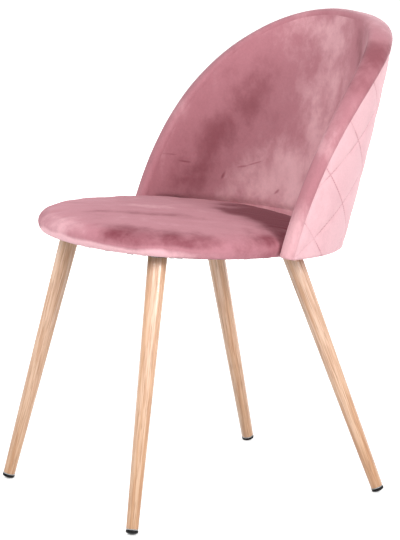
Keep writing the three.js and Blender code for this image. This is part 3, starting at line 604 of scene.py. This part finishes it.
# %% Seat creases
seat_points = np.array([to_seat @ Vector(p) for p in vertex_values(seat_cushion, "co")])
x, y, z = seat_points.T
angle = np.arctan2(y, x)
inside = np.hypot(x, y) / np.array([seat_radius(a) for a in angle])
seat_creases = (  # place in mm, turn in radians, depth and half width in mm
    (-40, 0.85, 0.9, 7), (8, 0.97, 0.7, 6), (46, 0.8, 0.6, 8), (-92, 1.05, 0.55, 6), (84, 1.15, 0.5, 7),
)
lift = np.zeros(len(x))
for offset, turn, depth, width in seat_creases:
    across = -x * math.sin(turn) + y * math.cos(turn)
    along = x * math.cos(turn) + y * math.sin(turn)
    sway = 9 * mm * noise_at(along * 9, offset * 0.1, 3)
    strength = np.clip(0.25 + noise_at(along * 14, offset * 0.1, 8), 0, 1)
    gap = (across - offset * mm - sway) / (width * mm)
    lift += depth * mm * strength * (np.exp(-gap ** 2) - 0.7 * np.exp(-(gap - 1.4) ** 2))
lift *= smooth(z, 20 * mm, 34 * mm) * (1 - smooth(inside, 0.8, 0.97))
lift += 0.5 * mm * noise_at(*(seat_points * 14).T) * smooth(z, 0, 12 * mm)
low_side = (1 - smooth(z, 2 * mm, 16 * mm)) * smooth(inside, 0.9, 0.97)
lift += 0.55 * mm * noise_at(angle * 26, z * 30, 5) * low_side
normals = vertex_values(seat_cushion, "normal")
set_points(seat_cushion, vertex_values(seat_cushion, "co") + normals * lift[:, None])
print("creases move the cloth by", round(lift.min() / mm, 2), "to", round(lift.max() / mm, 2), "mm")

# %% [markdown]
# The cushion is one closed body, so the board needs room in it. One cutter takes out the board's place,
# and a second opens the underside, where the dust cover goes.

# %% Room for the board
for inset, foot, head in ((14.7, -0.3, 12.3), (19.5, -30, 4)):
    profile = [(0, 0, foot * mm), (1, inset * mm, foot * mm), (1, inset * mm, head * mm), (0, 0, head * mm)]
    cutter = round_body("cutter", profile, 96)
    modify(seat_cushion, "BOOLEAN", operation="DIFFERENCE", solver="EXACT", object=cutter)
    bpy.data.objects.remove(cutter)
choose(seat_cushion)
shade(50)
finish_piece(seat_cushion, seat_velvet, replaces=("seat_cover", "seat_foam"))

# %% [markdown]
# ## The back's covers
# The half disc is meshed row by row: each row is a level line of the rim's curve, so the last row shrinks
# to the top of the scallop and the grid ends along the seam all the way round. Rows and columns crowd a
# little towards the edges, where the cloth rolls over.

# %% Half-disc grid
rim_power = 2.32


def half_disc(rows, columns, edge):
    share = np.linspace(0, 1, rows + 1)
    share[1:3] = [0.0035, 0.009]
    turn = math.pi / 2 * share ** 1.16
    wide = sheet_half_width * np.cos(turn) ** (2 / rim_power)
    high = sheet_height * np.sin(turn) ** (2 / rim_power)
    wide[-1] = 0
    keep = 1 - edge / np.hypot(wide, high)
    c = np.linspace(-1, 1, columns + 1)
    crowd = 0.75 * c + 0.25 * np.sin(math.pi / 2 * c)
    s = (wide * keep)[:, None] * crowd[None, :]
    h = np.repeat((high * keep)[:, None], columns + 1, axis=1)
    return s, h


def closed_sheet(name, s, h, near, far):
    rows, columns = s.shape
    points = np.concatenate([back_point(s, h, near).reshape(-1, 3), back_point(s, h, far).reshape(-1, 3)])
    uvs = np.concatenate([np.stack([s, h], -1).reshape(-1, 2)] * 2)
    layer = rows * columns
    skin = quads(rows, columns)
    faces = skin + flipped(skin, layer)
    for j in range(columns - 1):
        faces.append((j, j + layer, j + 1 + layer, j + 1))
    for i in range(rows - 1):
        for a in (i * columns, i * columns + columns - 1):
            faces.append((a, a + columns, a + columns + layer, a + layer))
    return mesh_piece(name, points, faces, uvs)


def rim_distance(s, h, edge):
    spread = ((np.abs(s) / sheet_half_width) ** rim_power + (h / sheet_height) ** rim_power) ** (1 / rim_power)
    reach = np.hypot(s, h) / np.maximum(spread, 1e-6)
    return np.maximum(0, reach - np.hypot(s, h) - edge)


def rolled_edge(h, radius):
    return 1 - np.sqrt(1 - (1 - np.clip(h / radius, 0, 1)) ** 2)


# %% [markdown]
# ### Inside
# The inner cover is pulled over foam and sewn to the rim band, so it dips into that seam and rolls under
# at its lower edge. It keeps a little slack: broad ripples, and short creases low down. Both covers reach
# 0.1 mm under the band, so that no light shows through the seam.

# %% Inner cushion
band_reach = 13 * mm
seam_edge = band_reach - 0.1 * mm
s, h = half_disc(120, 240, seam_edge)
from_seam = rim_distance(s, h, seam_edge)
face = back_thickness(s, h) - 0.25 * mm * np.exp(-from_seam / (2.2 * mm))
face += 0.9 * mm * noise_at(s * 9, h * 9, 2) + 0.35 * mm * noise_at(s * 34, h * 34, 4)
face += 0.5 * mm * noise_at(s * 70, h * 24.5, 6) * np.exp(-from_seam / (14 * mm))
face -= 3.5 * mm * rolled_edge(h, 5 * mm)
back_creases = (  # place s and h, turn in degrees, half length, half width, depth
    (-290, 84, -4, 22, 3.0, 0.9), (-268, 64, 8, 20, 2.6, 0.8), (-235, 50, -20, 14, 3.0, 0.8),
    (-160, 76, 18, 30, 1.6, 0.8), (-205, 60, 75, 5, 2.5, 1.3), (-152, 64, 5, 6, 1.6, 1.0),
    (-128, 46, 10, 6, 2.0, 0.9), (-86, 46, 40, 9, 2.5, 1.0), (-74, 52, -30, 6, 2.0, 0.8),
    (60, 34, 6, 24, 3.5, 0.8), (150, 45, -17, 26, 3.5, 0.8), (215, 60, 12, 20, 3.0, 0.8),
)
for where_s, where_h, turn, length, width, depth in back_creases:
    ds, dh = s - where_s * mm, h - where_h * mm
    turn = math.radians(turn)
    along = (ds * math.cos(turn) + dh * math.sin(turn)) / (length * mm)
    across = (-ds * math.sin(turn) + dh * math.cos(turn)) / (width * mm)
    face -= depth * mm * np.exp(-along ** 2) * (np.exp(-across ** 2) - 0.5 * np.exp(-(across - 1.6) ** 2))
shell_side = np.full(s.shape, 16 * mm)
inner_cushion = closed_sheet("inner_cushion", s, h, shell_side, face)
finish_piece(inner_cushion, inner_velvet, replaces=("back_inner_cover", "back_padding"))

# %% [markdown]
# ### Outside
# The outer cover is velvet on thin wadding, sewn through in crossing lines. Between the lines it puffs up,
# and on them it sinks. The lines are a lattice in s and h, so one formula gives the distance to the nearest
# line, for the puff here and for the thread in the material.

# %% Outer quilt
diamond_width, diamond_height, below_edge = 122 * mm, 98 * mm, 18 * mm
line_scale = 1 / math.hypot(1 / diamond_width, 1 / diamond_height)


def stitch_distance(s, h):
    wide, high = s / diamond_width, (h + below_edge) / diamond_height
    rising, falling = wide + high, wide - high
    return np.minimum(np.abs(rising - np.round(rising)), np.abs(falling - np.round(falling))) * line_scale


s, h = half_disc(118, 236, seam_edge)
from_stitch = stitch_distance(s, h)
sunk = 1.7 * mm * np.exp(-from_stitch / (5 * mm)) + 0.6 * mm * np.exp(-(from_stitch / (2 * mm)) ** 2)
sunk += 1.6 * mm * np.exp(-rim_distance(s, h, seam_edge) / (3 * mm))
sunk += 0.25 * mm * (1 + noise_at(s * 60, h * 60, 9)) * np.exp(-from_stitch / (9 * mm))
sunk += 3.2 * mm * rolled_edge(h, 4 * mm)
sunk = np.minimum(sunk, 4.6 * mm)
outer_quilt = closed_sheet("outer_quilt", s, h, sunk, np.full(s.shape, 5.5 * mm))

# %% [markdown]
# The thread itself is too fine to model. It belongs in the material, which knows s and h from the piece's own UV
# map: a valley along each line, darkened as painted shade, with a short stitch every few millimetres. A soft noise
# lets the lines fade here and there, as the pile covers them.

# %% Quilted velvet material
# Painted light: the outer cover is the same rose velvet, and these paler tones are a lit copy of it for the bright
# light on that side.
painted_lit_rose = ("cf9da4", "e7bac0", "f8cfd4")
quilt_velvet = velvet("quilt_velvet", painted_lit_rose, (1.0, 1.0, 0.7), 5.0, sheen=0.4)
tree = quilt_velvet.node_tree
shader = tree.nodes["Principled BSDF"]
flat = add(tree, "ShaderNodeSeparateXYZ", {0: sheet_place(tree)}).outputs
wide = maths(tree, "DIVIDE", flat["X"], diamond_width)
high = maths(tree, "DIVIDE", maths(tree, "ADD", flat["Y"], below_edge), diamond_height)
rising, falling = maths(tree, "ADD", wide, high), maths(tree, "SUBTRACT", wide, high)
dashes_per_diamond = 26.0
valleys, threads = [], []
for phase, other in ((rising, falling), (falling, rising)):
    apart = maths(tree, "ABSOLUTE", maths(tree, "SUBTRACT", phase, maths(tree, "ROUND", phase)))
    apart = maths(tree, "MULTIPLY", apart, line_scale / mm)
    valleys.append(ramp(tree, apart, 2.2, 0.2))
    dash = maths(tree, "PINGPONG", maths(tree, "MULTIPLY", other, dashes_per_diamond), 1.0)
    threads.append(maths(tree, "MULTIPLY", ramp(tree, apart, 0.55, 0.35), ramp(tree, dash, 0.25, 0.4)))
fading = ramp(tree, speckle(tree, object_place(tree), 22.0, 3.0).outputs[0], 0.38, 0.6, 0.25, 1.0)
valley = maths(tree, "MULTIPLY", maths(tree, "MAXIMUM", *valleys), fading)
thread = maths(tree, "MULTIPLY", maths(tree, "MAXIMUM", *threads), fading)
plain_tint = shader.inputs["Base Color"].links[0].from_socket
plain_normal = shader.inputs["Normal"].links[0].from_socket
# Painted shade: the valley along each stitched line is darkened.
tint = mix_colour(tree, maths(tree, "MULTIPLY", valley, 0.42), plain_tint, colour("d3959e"))
tint = mix_colour(tree, maths(tree, "MULTIPLY", thread, 0.7), tint, colour("a9606b"))
height = maths(tree, "SUBTRACT", maths(tree, "MULTIPLY", thread, 0.6), valley)
quilting = bump(tree, height, 0.5, 0.8 * mm)
feed(tree, quilting, {"Normal": plain_normal})
feed(tree, shader, {"Base Color": tint, "Normal": quilting.outputs[0]})
finish_piece(outer_quilt, quilt_velvet, replaces=("back_outer_cover",))

# %% [markdown]
# The shell is plywood, and nobody wants to see its raw edge. The outer cover is folded round it below and
# stapled out of sight, which leaves one soft strip along the bottom. It is a small closed section carried
# along s, and it stops where the rim band begins.

# %% Folded hem
hem_section = (  # depth and h in mm
    (3.7, -0.05), (3.4, -0.5), (3.7, -1.0), (4.6, -1.3), (9.7, -1.5), (14.8, -1.3), (15.7, -0.9), (15.9, -0.5),
    (15.7, -0.05),
)
hem_rings, hem_half_length = 241, 338 * mm
hem_s = np.linspace(-hem_half_length, hem_half_length, hem_rings)
level_line = np.zeros(hem_rings)
dent = 0.25 * mm * noise_at(hem_s * 90, 45, 12)
lines = []
for depth, h in hem_section:
    underside = h < -0.9
    lines.append(back_point(hem_s, level_line + h * mm + dent * underside, level_line + depth * mm))
points = np.stack(lines, 1).reshape(-1, 3)
count = len(hem_section)
uvs = np.stack([np.repeat(hem_s, count), np.zeros(len(points))], -1)
last_ring = (hem_rings - 1) * count
ends = [tuple(range(count)), tuple(last_ring + k for k in reversed(range(count)))]
folded_hem = mesh_piece("folded_hem", points, ends + quads(hem_rings, count, closed=True), uvs)
# The hem takes the same painted lit tones as the outer cover.
hem_velvet = velvet("hem_velvet", painted_lit_rose, (1.0, 1.0, 0.7), 5.0, sheen=0.4)
finish_piece(folded_hem, hem_velvet)

# %% [markdown]
# ### The rim band
# A strip of velvet goes round the foam roll at the rim and is sewn to both covers. Its section is a long
# nose with a flat back. The rim's curve is measured first, so that the section can be carried round it in
# even steps, with a few close ones at both ends.

# %% Rim curve and band section
dense = np.linspace(0, math.pi, 4001)
dense_s = sheet_half_width * np.sign(np.cos(dense)) * np.abs(np.cos(dense)) ** (2 / rim_power)
dense_h = sheet_height * np.sin(dense) ** (2 / rim_power)
dense_h[-1] = 0
dense_arc = np.concatenate([[0], np.cumsum(np.hypot(np.diff(dense_s), np.diff(dense_h)))])
rim_length = dense_arc[-1]
tuck = 4.5 * mm
close_steps = np.array([0, 0.5, 1.3, 2.6]) * mm
even_steps = np.linspace(tuck, rim_length - tuck, 300)
stations = np.concatenate([close_steps, even_steps, rim_length - close_steps[::-1]])
rim_s = np.interp(stations, dense_arc, dense_s)
rim_h = np.interp(stations, dense_arc, dense_h)
nose_steps, back_steps, nose_power = 26, 8, 2.5
turn = math.pi * np.arange(nose_steps + 1) / nose_steps
side = np.sign(np.cos(turn)) * np.abs(np.cos(turn)) ** (2 / nose_power)
front = np.abs(np.sin(turn)) ** (2 / nose_power)
from_rim = band_reach * np.concatenate([1 - front, np.ones(back_steps - 1)])
depth_share = np.concatenate([(1 - side) / 2, 1 - np.arange(1, back_steps) / back_steps])
skin = np.concatenate([np.ones(nose_steps + 1), np.zeros(back_steps - 1)])
print("rim", round(rim_length, 3), "m long,", len(stations), "sections")

# %% [markdown]
# Small puckers run off both seams, and a broad waver keeps the nose from looking turned. At the bottom of
# the wings the section shrinks towards its middle, which tucks the two ends round.

# %% Rim band
points, uvs = [], []
for out_s, out_h, arc in zip(rim_s, rim_h, stations):
    reach = math.hypot(out_s, out_h)
    keep = 1 - from_rim / reach
    thickness = back_thickness(out_s * keep, out_h * keep)
    depth = depth_share * thickness
    to_outer = np.hypot(band_reach - from_rim, depth)
    to_inner = np.hypot(band_reach - from_rim, thickness - depth)
    pull = 1.4 * np.exp(-to_outer / (3 * mm)) - 0.2 * np.exp(-to_inner / (2.2 * mm))
    pull += 0.45 * noise_at(arc * 95, 4, 0) * np.exp(-to_outer / (8 * mm))
    pull -= 0.45 * noise_at(arc * 80, 9, 0) * np.exp(-to_inner / (8 * mm))
    depth = depth + pull * mm * skin
    edge = from_rim + 0.35 * mm * noise_at(arc * 22, 2, 0) * skin * (band_reach - from_rim) / band_reach
    end = min(arc, rim_length - arc)
    if end < tuck:
        curl = 3.5 * mm * (1 - math.sqrt(max(0, 1 - (1 - end / tuck) ** 2)))
        edge = band_reach / 2 + (edge - band_reach / 2) * (1 - curl / (band_reach / 2))
        depth = thickness / 2 + (depth - thickness / 2) * (1 - curl / (14 * mm))
    keep = 1 - edge / reach
    points.append(back_point(out_s * keep, out_h * keep, depth))
    uvs.append(np.stack([np.full(len(edge), arc), depth + edge], -1))
count = nose_steps + back_steps
faces = quads(len(stations), count, closed=True)
for start in (0, (len(stations) - 1) * count):
    for j in range(nose_steps // 2 - 1):
        faces.append((start + j, start + j + 1, start + nose_steps - j - 1, start + nose_steps - j))
    faces.append(tuple(start + nose_steps // 2 + k for k in (-1, 0, 1)))
    faces.append(tuple(start + nose_steps + k for k in range(back_steps)) + (start,))
rim_band = mesh_piece("rim_band", np.concatenate(points), faces, np.concatenate(uvs))
finish_piece(rim_band, band_velvet, replaces=("back_rim_band", "back_rim_roll"))

# %% [markdown]
# ## Turned pieces
# Glides, studs and rings are all round, so one helper makes them the way a hand would: start with a circle,
# extrude its edge upwards and scale it at each step of the profile, then close the ends. Each is made
# upright at the origin and then put in its place.

# %% Turning by extrusion
def take_new(name):
    piece = bpy.context.object
    piece.name = piece.data.name = name
    bpy.ops.object.transform_apply(location=True, rotation=True, scale=True)
    return piece


def turned_piece(name, profile, closed_ring=False, steps=64):
    deselect()
    radius, height = profile[0]
    bpy.ops.mesh.primitive_circle_add(vertices=steps, radius=radius, location=(0, 0, height),
                                      fill_type="NOTHING")
    piece = take_new(name)
    bpy.ops.object.mode_set(mode="EDIT")
    bpy.ops.mesh.select_all(action="SELECT")
    if not closed_ring:
        bpy.ops.mesh.edge_face_add()
        bpy.ops.mesh.select_all(action="SELECT")
        bpy.ops.mesh.select_mode(type="EDGE")
    for next_radius, next_height in profile[1:]:
        bpy.ops.mesh.extrude_edges_move(TRANSFORM_OT_translate={"value": (0, 0, next_height - height)})
        grow = next_radius / radius
        bpy.ops.transform.resize(value=(grow, grow, 1), center_override=(0, 0, next_height))
        radius, height = next_radius, next_height
    if not closed_ring:
        bpy.ops.mesh.edge_face_add()
    close_up(35)
    return piece


def put(piece, place):
    piece.data.transform(place)
    piece.data.update()
    return piece


def trim(piece, point, normal, fill):
    choose(piece)
    bpy.ops.object.mode_set(mode="EDIT")
    bpy.ops.mesh.select_all(action="SELECT")
    bpy.ops.mesh.bisect(plane_co=point, plane_no=normal, clear_outer=True, use_fill=fill)
    bpy.ops.object.mode_set(mode="OBJECT")


# %% [markdown]
# ## Oak print
# The legs are steel tubes with a printed film: long pale streaks with finer dark lines, under a clear
# gloss. The grain runs along each leg, so each leg carries its own straight coordinates as an attribute.
# The colour also grows darker and warmer toward the foot. The boards' plywood uses the same grain.

# %% Grain group
grain, grain_in, grain_out = group(
    "long_grain", {"Vector": None, "Width": 160.0, "Length": 0.05}, ["Streak", "Line", "Pore"])
lengthened = add(grain, "ShaderNodeCombineXYZ", {0: 1.0, 1: 1.0, 2: grain_in["Length"]}).outputs[0]
drawn = vector_maths(grain, "MULTIPLY", grain_in["Vector"], lengthened)
streaks = speckle(grain, drawn, grain_in["Width"], 3.0, distortion=0.4).outputs[0]
fine_lines = speckle(grain, drawn, maths(grain, "MULTIPLY", grain_in["Width"], 3.2), 3.0, 0.6).outputs[0]
pores = speckle(grain, drawn, maths(grain, "MULTIPLY", grain_in["Width"], 7.0), 2.0).outputs[0]
feed(grain, grain_out, {
    "Streak": ramp(grain, streaks, 0.35, 0.65),
    "Line": ramp(grain, fine_lines, 0.42, 0.6),
    "Pore": ramp(grain, pores, 0.56, 0.66),
})


# %% Wood materials
def wood(name, attribute, tones, width, length, rough, coat, relief, foot_tone=None):
    made, tree, shader = material(name)
    if attribute:
        where = add(tree, "ShaderNodeAttribute", attribute_name=attribute).outputs["Vector"]
    else:
        where = object_place(tree)
    figure = place_group(tree, grain, {"Vector": where, "Width": width, "Length": length})
    dark, middle, light, pore = (colour(tone) for tone in tones)
    tint = mix_colour(tree, figure["Streak"], middle, light)
    tint = mix_colour(tree, maths(tree, "MULTIPLY", figure["Line"], 0.5), tint, dark)
    tint = mix_colour(tree, maths(tree, "MULTIPLY", figure["Pore"], 0.5), tint, pore)
    if foot_tone:
        height = add(tree, "ShaderNodeSeparateXYZ", {0: object_place(tree)}).outputs[2]
        lowness = add(tree, "ShaderNodeMapRange", {0: height, 1: 0.33, 2: 0.02}).outputs[0]
        tint = mix_colour(tree, lowness, tint, colour(foot_tone), "MULTIPLY")
    relief_height = maths(tree, "ADD", figure["Line"], figure["Pore"])
    feed(tree, shader, {
        "Base Color": tint,
        "Roughness": ramp(tree, figure["Line"], 0.0, 1.0, rough, rough + 0.12),
        "Normal": bump(tree, relief_height, relief, 0.1 * mm).outputs[0],
        "Coat Weight": coat,
        "Coat Roughness": 0.12,
    })
    return made


oak_print = wood("oak_print", "grain", ("b98159", "dfb28f", "efcdb4", "9d6d4a"), width=120.0, length=0.03,
                 rough=0.3, coat=0.35, relief=0.12, foot_tone="e7dcca")
plywood = wood("plywood", None, ("c79f6e", "d8b688", "e6cba2", "a57d50"), width=60.0, length=0.9,
               rough=0.62, coat=0.0, relief=0.3)
print("wood", oak_print.name, plywood.name)

# %% [markdown]
# ## The legs
# Each leg is a tapered tube, 1.5 mm thick, cut at a slant where it meets its plate. The CAD record says
# where each foot stands and along which line its glide slides, and that line is the leg's axis.

# %% Leg frames
mounts = {m["name"]: Vector(m["pos_m"]) for m in frame["record"]["mounts"]}
slides = {j["name"]: Vector(j["axis"]) for j in frame["joints"]}
upright = Vector((0, 0, 1))
seat_up = seat_place.to_3x3() @ upright
plate_underside = -4.2 * mm
leg_places, leg_tops = {}, {}
for leg in legs:
    foot = mounts["foot_" + leg] + Vector((0, 0, 15.6 * mm))
    axis = -slides["glide_" + leg].normalized()
    leg_places[leg] = Matrix.Translation(foot) @ upright.rotation_difference(axis).to_matrix().to_4x4()
    plane = seat_place @ Vector((0, 0, plate_underside))
    leg_tops[leg] = (plane - foot).dot(seat_up) / axis.dot(seat_up)
print("leg lengths", {leg: round(top, 4) for leg, top in leg_tops.items()})

# %% Leg tubes
foot_radius, top_radius, wall = 9.75 * mm, 15.5 * mm, 1.5 * mm
pad_top = -8.49 * mm
tube_bottom = pad_top + 1.6 * mm
for index, leg in enumerate(legs):
    top = leg_tops[leg]
    length = top + 20 * mm - tube_bottom
    cut_radius = foot_radius + (top_radius - foot_radius) * length / (top - tube_bottom)
    deselect()
    bpy.ops.mesh.primitive_cone_add(vertices=72, radius1=foot_radius, radius2=cut_radius, depth=length,
                                    end_fill_type="NOTHING", location=(0, 0, tube_bottom + length / 2))
    tube = put(take_new("leg_" + leg), leg_places[leg])
    trim(tube, seat_place @ Vector((0, 0, plate_underside - 0.9 * mm)), seat_up, False)
    modify(tube, "SOLIDIFY", thickness=wall, offset=-1)
    modify(tube, "BEVEL", width=0.25 * mm, segments=2, angle_limit=math.radians(50))
    shade(35)
    to_leg = leg_places[leg].inverted()
    own_place = Vector((0.31, 0.17, 1.9)) * index
    straight = [to_leg @ v.co + own_place for v in tube.data.vertices]
    along_leg = tube.data.attributes.new("grain", "FLOAT_VECTOR", "POINT")
    along_leg.data.foreach_set("vector", np.array(straight).ravel())
    finish_piece(tube, oak_print, replaces=("leg_tube_" + leg,))

# %% [markdown]
# ## Metal, plastic and dust cloth
# Zinc plate is bright with faint rubbing, powder coat is a fine orange peel, the glides are glossy nylon with
# faint scuffs, and the dust cloth is dull. All share one group for fine grit.

# %% Grit group
grit, grit_in, grit_out = group("fine_grit", {"Vector": None, "Scale": 400.0}, ["Grit", "Rub"])
smears = speckle(grit, grit_in["Vector"], maths(grit, "MULTIPLY", grit_in["Scale"], 0.15), 4.0, 0.7).outputs[0]
feed(grit, grit_out, {
    "Grit": speckle(grit, grit_in["Vector"], grit_in["Scale"], 3.0).outputs[0],
    "Rub": ramp(grit, smears, 0.4, 0.65),
})


# %% Hard finishes
def hard(name, base, worn, rough, worn_rough, scale, relief, metallic=0.0, coat=0.0, specular=0.5):
    made, tree, shader = material(name)
    surface = place_group(tree, grit, {"Vector": object_place(tree), "Scale": scale})
    feed(tree, shader, {
        "Base Color": mix_colour(tree, surface["Rub"], colour(base), colour(worn)),
        "Roughness": ramp(tree, surface["Rub"], 0.0, 1.0, rough, worn_rough),
        "Normal": bump(tree, surface["Grit"], relief, 0.1 * mm).outputs[0],
        "Metallic": metallic,
        "Coat Weight": coat,
        "Specular IOR Level": specular,
    })
    print("finish", name)
    return made


zinc = hard("zinc_plate", "b9babc", "a5a49f", 0.25, 0.4, 500.0, 0.15, metallic=1.0)
powder = hard("powder_coat", "1d1d1f", "2a2a2c", 0.45, 0.55, 900.0, 0.5)
nylon = hard("glossy_nylon", "070708", "101011", 0.16, 0.32, 300.0, 0.08, coat=0.05, specular=0.15)
dust_cloth = hard("dust_cloth", "161617", "242426", 0.9, 0.97, 260.0, 0.9)

# %% [markdown]
# ## Glides and their inserts
# A glide is a domed foot on a threaded stud. The dome is worn flat where it stands, and since the leg
# leans, that flat is cut level with the floor and not square to the stud. The profiles below are in
# millimetres, each point a radius and a height, measured from the point that the stud's axis turns on.

# %% Glide profiles
def in_metres(*profile):
    return [(radius * mm, height * mm) for radius, height in profile]


dome = [(16 * math.sin(a), -16 * math.cos(a)) for a in np.radians([4, 9, 14, 19, 24, 29, 34, 38.68])]
pad_profile = in_metres(*dome, (10, -9.2), (9.8, -8.7), (9.3, -8.49), (3.3, -8.49), (3.3, -11.39))
thread_turns = [point for turn in range(14) for point in ((2.6, turn - 8.4), (3.0, turn - 7.9))]
stud_profile = in_metres((3.0, -11.09), (3.0, -8.6), *thread_turns, (2.6, 5.9), (2.2, 7.9))
insert_profile = in_metres((9.75, -8.19), (9.75, -7.19), (7.95, -7.19), (7.95, 15.8), (3.3, 15.8), (3.3, -8.19),
                           (9.75, -8.19))
print("profiles of", len(pad_profile), len(stud_profile), len(insert_profile), "points")

# %% Glides
for leg in legs:
    pad = put(turned_piece("glide_" + leg, pad_profile), leg_places[leg])
    trim(pad, (0, 0, 0.02 * mm), (0, 0, -1), True)
    shade(35)
    finish_piece(pad, nylon, body="glide_" + leg, replaces=("glide_pad_" + leg,))
    stud = put(turned_piece("stud_" + leg, stud_profile, steps=32), leg_places[leg])
    finish_piece(stud, zinc, body="glide_" + leg, replaces=("glide_stud_" + leg,))
    ring = put(turned_piece("insert_" + leg, insert_profile, closed_ring=True), leg_places[leg])
    finish_piece(ring, zinc, replaces=("leg_insert_" + leg,))

# %% [markdown]
# ## Under the seat
# Each leg is welded to a small plate, and the weld leaves a rippled bead. It is a thin ring, stretched to
# the slanting cut of its leg.

# %% Weld beads
bead_radius, ripples = 15.4 * mm, 34
for index, leg in enumerate(legs):
    deselect()
    bpy.ops.mesh.primitive_torus_add(major_segments=96, minor_segments=12, major_radius=bead_radius,
                                     minor_radius=1.5 * mm, location=(0, 0, 0))
    bead = take_new("weld_bead_" + leg)
    for v in bead.data.vertices:
        around = math.atan2(v.co.y, v.co.x)
        ring_point = Vector((math.cos(around), math.sin(around), 0)) * bead_radius
        ripple = 1 + 0.22 * math.sin(around * ripples + 2 * math.sin(around * 3 + index))
        v.co = ring_point + (v.co - ring_point) * ripple
    axis = to_seat.to_3x3() @ (leg_places[leg].to_3x3() @ upright)
    lean = Matrix.Rotation(math.atan2(axis.y, axis.x), 4, "Z")
    stretch = lean @ Matrix.Diagonal((1 / axis.z, 1, 1, 1)) @ lean.inverted()
    centre = to_seat @ (leg_places[leg] @ Vector((0, 0, leg_tops[leg])))
    put(bead, seat_place @ Matrix.Translation((centre.x, centre.y, plate_underside - 0.7 * mm)) @ stretch)
    bpy.ops.object.shade_smooth()
    finish_piece(bead, powder)

# %% [markdown]
# The dust cover is a thin black cloth, stapled all round. It lies flat on the board, steps down near its
# edge over the velvet that is folded under there, and pulls in a little between two staples. The step is
# the same all round, so the cloth is rings of points with the seat's outline, above and below.

# %% Dust cover
staple_count = 34
cloth_inset, cloth_thickness = 16.8 * mm, 0.5 * mm
on_board, on_hem = -0.35 * mm, -2.35 * mm
insets = [0, 0.5, 2, 4, 5, 7, 10, 16, 26, 40]
shares = [0.75, 0.6, 0.45, 0.3, 0.15, 0.0]
steps = staple_count * 8
points = []
for below in (False, True):
    for i in range(steps):
        angle = 2 * math.pi * i / steps
        pull = 0.5 - 0.5 * math.cos(angle * staple_count)
        reach = seat_radius(angle) - cloth_inset - 0.8 * mm * pull
        radii = [reach - inset * mm for inset in insets] + [reach * share for share in shares]
        for k, radius in enumerate(radii):
            hang = 1 - smooth(seat_radius(angle) - radius, 19.6 * mm, 21.4 * mm)
            rounding = 0.2 * mm if k == 0 else 0
            wave = 0.12 * mm * noise_at(radius * math.cos(angle) * 40, radius * math.sin(angle) * 40, 4)
            height = on_board + (on_hem - on_board) * hang - (cloth_thickness - rounding if below else rounding)
            height -= 0.15 * mm * pull * hang + abs(wave) * (1 - hang)
            points.append(seat_point(angle, radius, height))
count = len(insets) + len(shares)
layer = steps * count
skin = quads(steps, count, around=True)
edge_faces = [(a, a + layer, (a + count) % layer + layer, (a + count) % layer) for a in range(0, layer, count)]
dust_cover = mesh_piece("dust_cover", points, skin + flipped(skin, layer) + edge_faces)
finish_piece(dust_cover, dust_cloth, replaces=("seat_dust_cover",))

# %% [markdown]
# One staple is modelled, copied round the edge and joined, each copy turned a little as a hand gun would
# leave it. There are none where the three brackets of the back cross the edge.

# %% Staples
brackets = []
for where_s in (0, -284 * mm, 284 * mm):
    s, h = np.float64(where_s), np.float64(0)
    post = to_seat @ Vector(sheet_point(s, h))
    inwards = to_seat.to_3x3() @ Vector(back_inward(s, h))
    brackets.append((np.array(post[:2]), np.array(inwards[:2]) / math.hypot(*inwards[:2])))


def off_bracket(spot, post, inwards):
    return abs(np.cross(spot - post, inwards)) if (spot - post) @ inwards > 0 else 1


deselect()
bpy.ops.mesh.primitive_cube_add(size=1)
bpy.context.object.scale = (11 * mm, 1.2 * mm, 0.6 * mm)
staple = take_new("staple")
modify(staple, "BEVEL", width=0.2 * mm, segments=2)
rng = random.Random(7)
copies = []
for i in range(staple_count):
    angle = 2 * math.pi * i / staple_count
    radius = seat_radius(angle) - 18.2 * mm
    spot = np.array([radius * math.cos(angle), radius * math.sin(angle)])
    if min(off_bracket(spot, *bracket) for bracket in brackets) < 22 * mm:
        continue
    turn = angle + math.pi / 2 + rng.uniform(-0.12, 0.12)
    place = Matrix.Translation((*spot, -3.35 * mm)) @ Matrix.Rotation(turn, 4, "Z")
    copies.append(put(new_object("staple", staple.data.copy()), seat_place @ place))
bpy.data.objects.remove(staple)
choose(copies[0])
for copy in copies:
    copy.select_set(True)
bpy.ops.object.join()
copies[0].name = copies[0].data.name = "dust_cover_staples"
finish_piece(copies[0], zinc)

# %% [markdown]
# ## The CAD pieces that stay
# Boards, plates, brackets and fasteners already have their true shape, so they only get their finish.

# %% Finishes for CAD pieces
stays = {
    "seat_board": plywood, "back_shell": plywood, "leg_plate": powder, "back_bracket": powder,
    "leg_bolt": zinc, "board_nut": zinc, "board_screw": zinc, "shell_screw": zinc,
}
for start, finish in stays.items():
    kept = [node for name, node in nodes.items() if name.startswith(start)]
    for node in kept:
        node.data.materials.clear()
        node.data.materials.append(finish)
    print(start, len(kept))

# %% [markdown]
# ## Floor
# The floor is white and almost shadowless, as in the photograph. A share of its white is only for the
# camera, so it doesn't light the chair from below, and the rest is a plain surface that keeps the shadow.

# %% Floor
deselect()
bpy.ops.mesh.primitive_plane_add(size=60, location=(0, 0, -0.2 * mm))
floor = bpy.context.object
floor.name = "floor"
floor_finish, tree, shader = material("floor_white")
feed(tree, shader, {"Base Color": (0.82, 0.82, 0.82, 1), "Roughness": 0.9, "Specular IOR Level": 0.0})
away = add(tree, "ShaderNodeVectorMath", {0: object_place(tree)}, operation="LENGTH").outputs["Value"]
white = maths(tree, "MULTIPLY", seen_directly(tree), ramp(tree, away, 0.7, 2.2, 0.5, 1.0))
glow = add(tree, "ShaderNodeEmission", {"Color": (1, 1, 1, 1), "Strength": white}).outputs[0]
both = add(tree, "ShaderNodeAddShader", {0: shader.outputs[0], 1: glow}).outputs[0]
feed(tree, tree.nodes["Material Output"], {"Surface": both})
floor.data.materials.append(floor_finish)
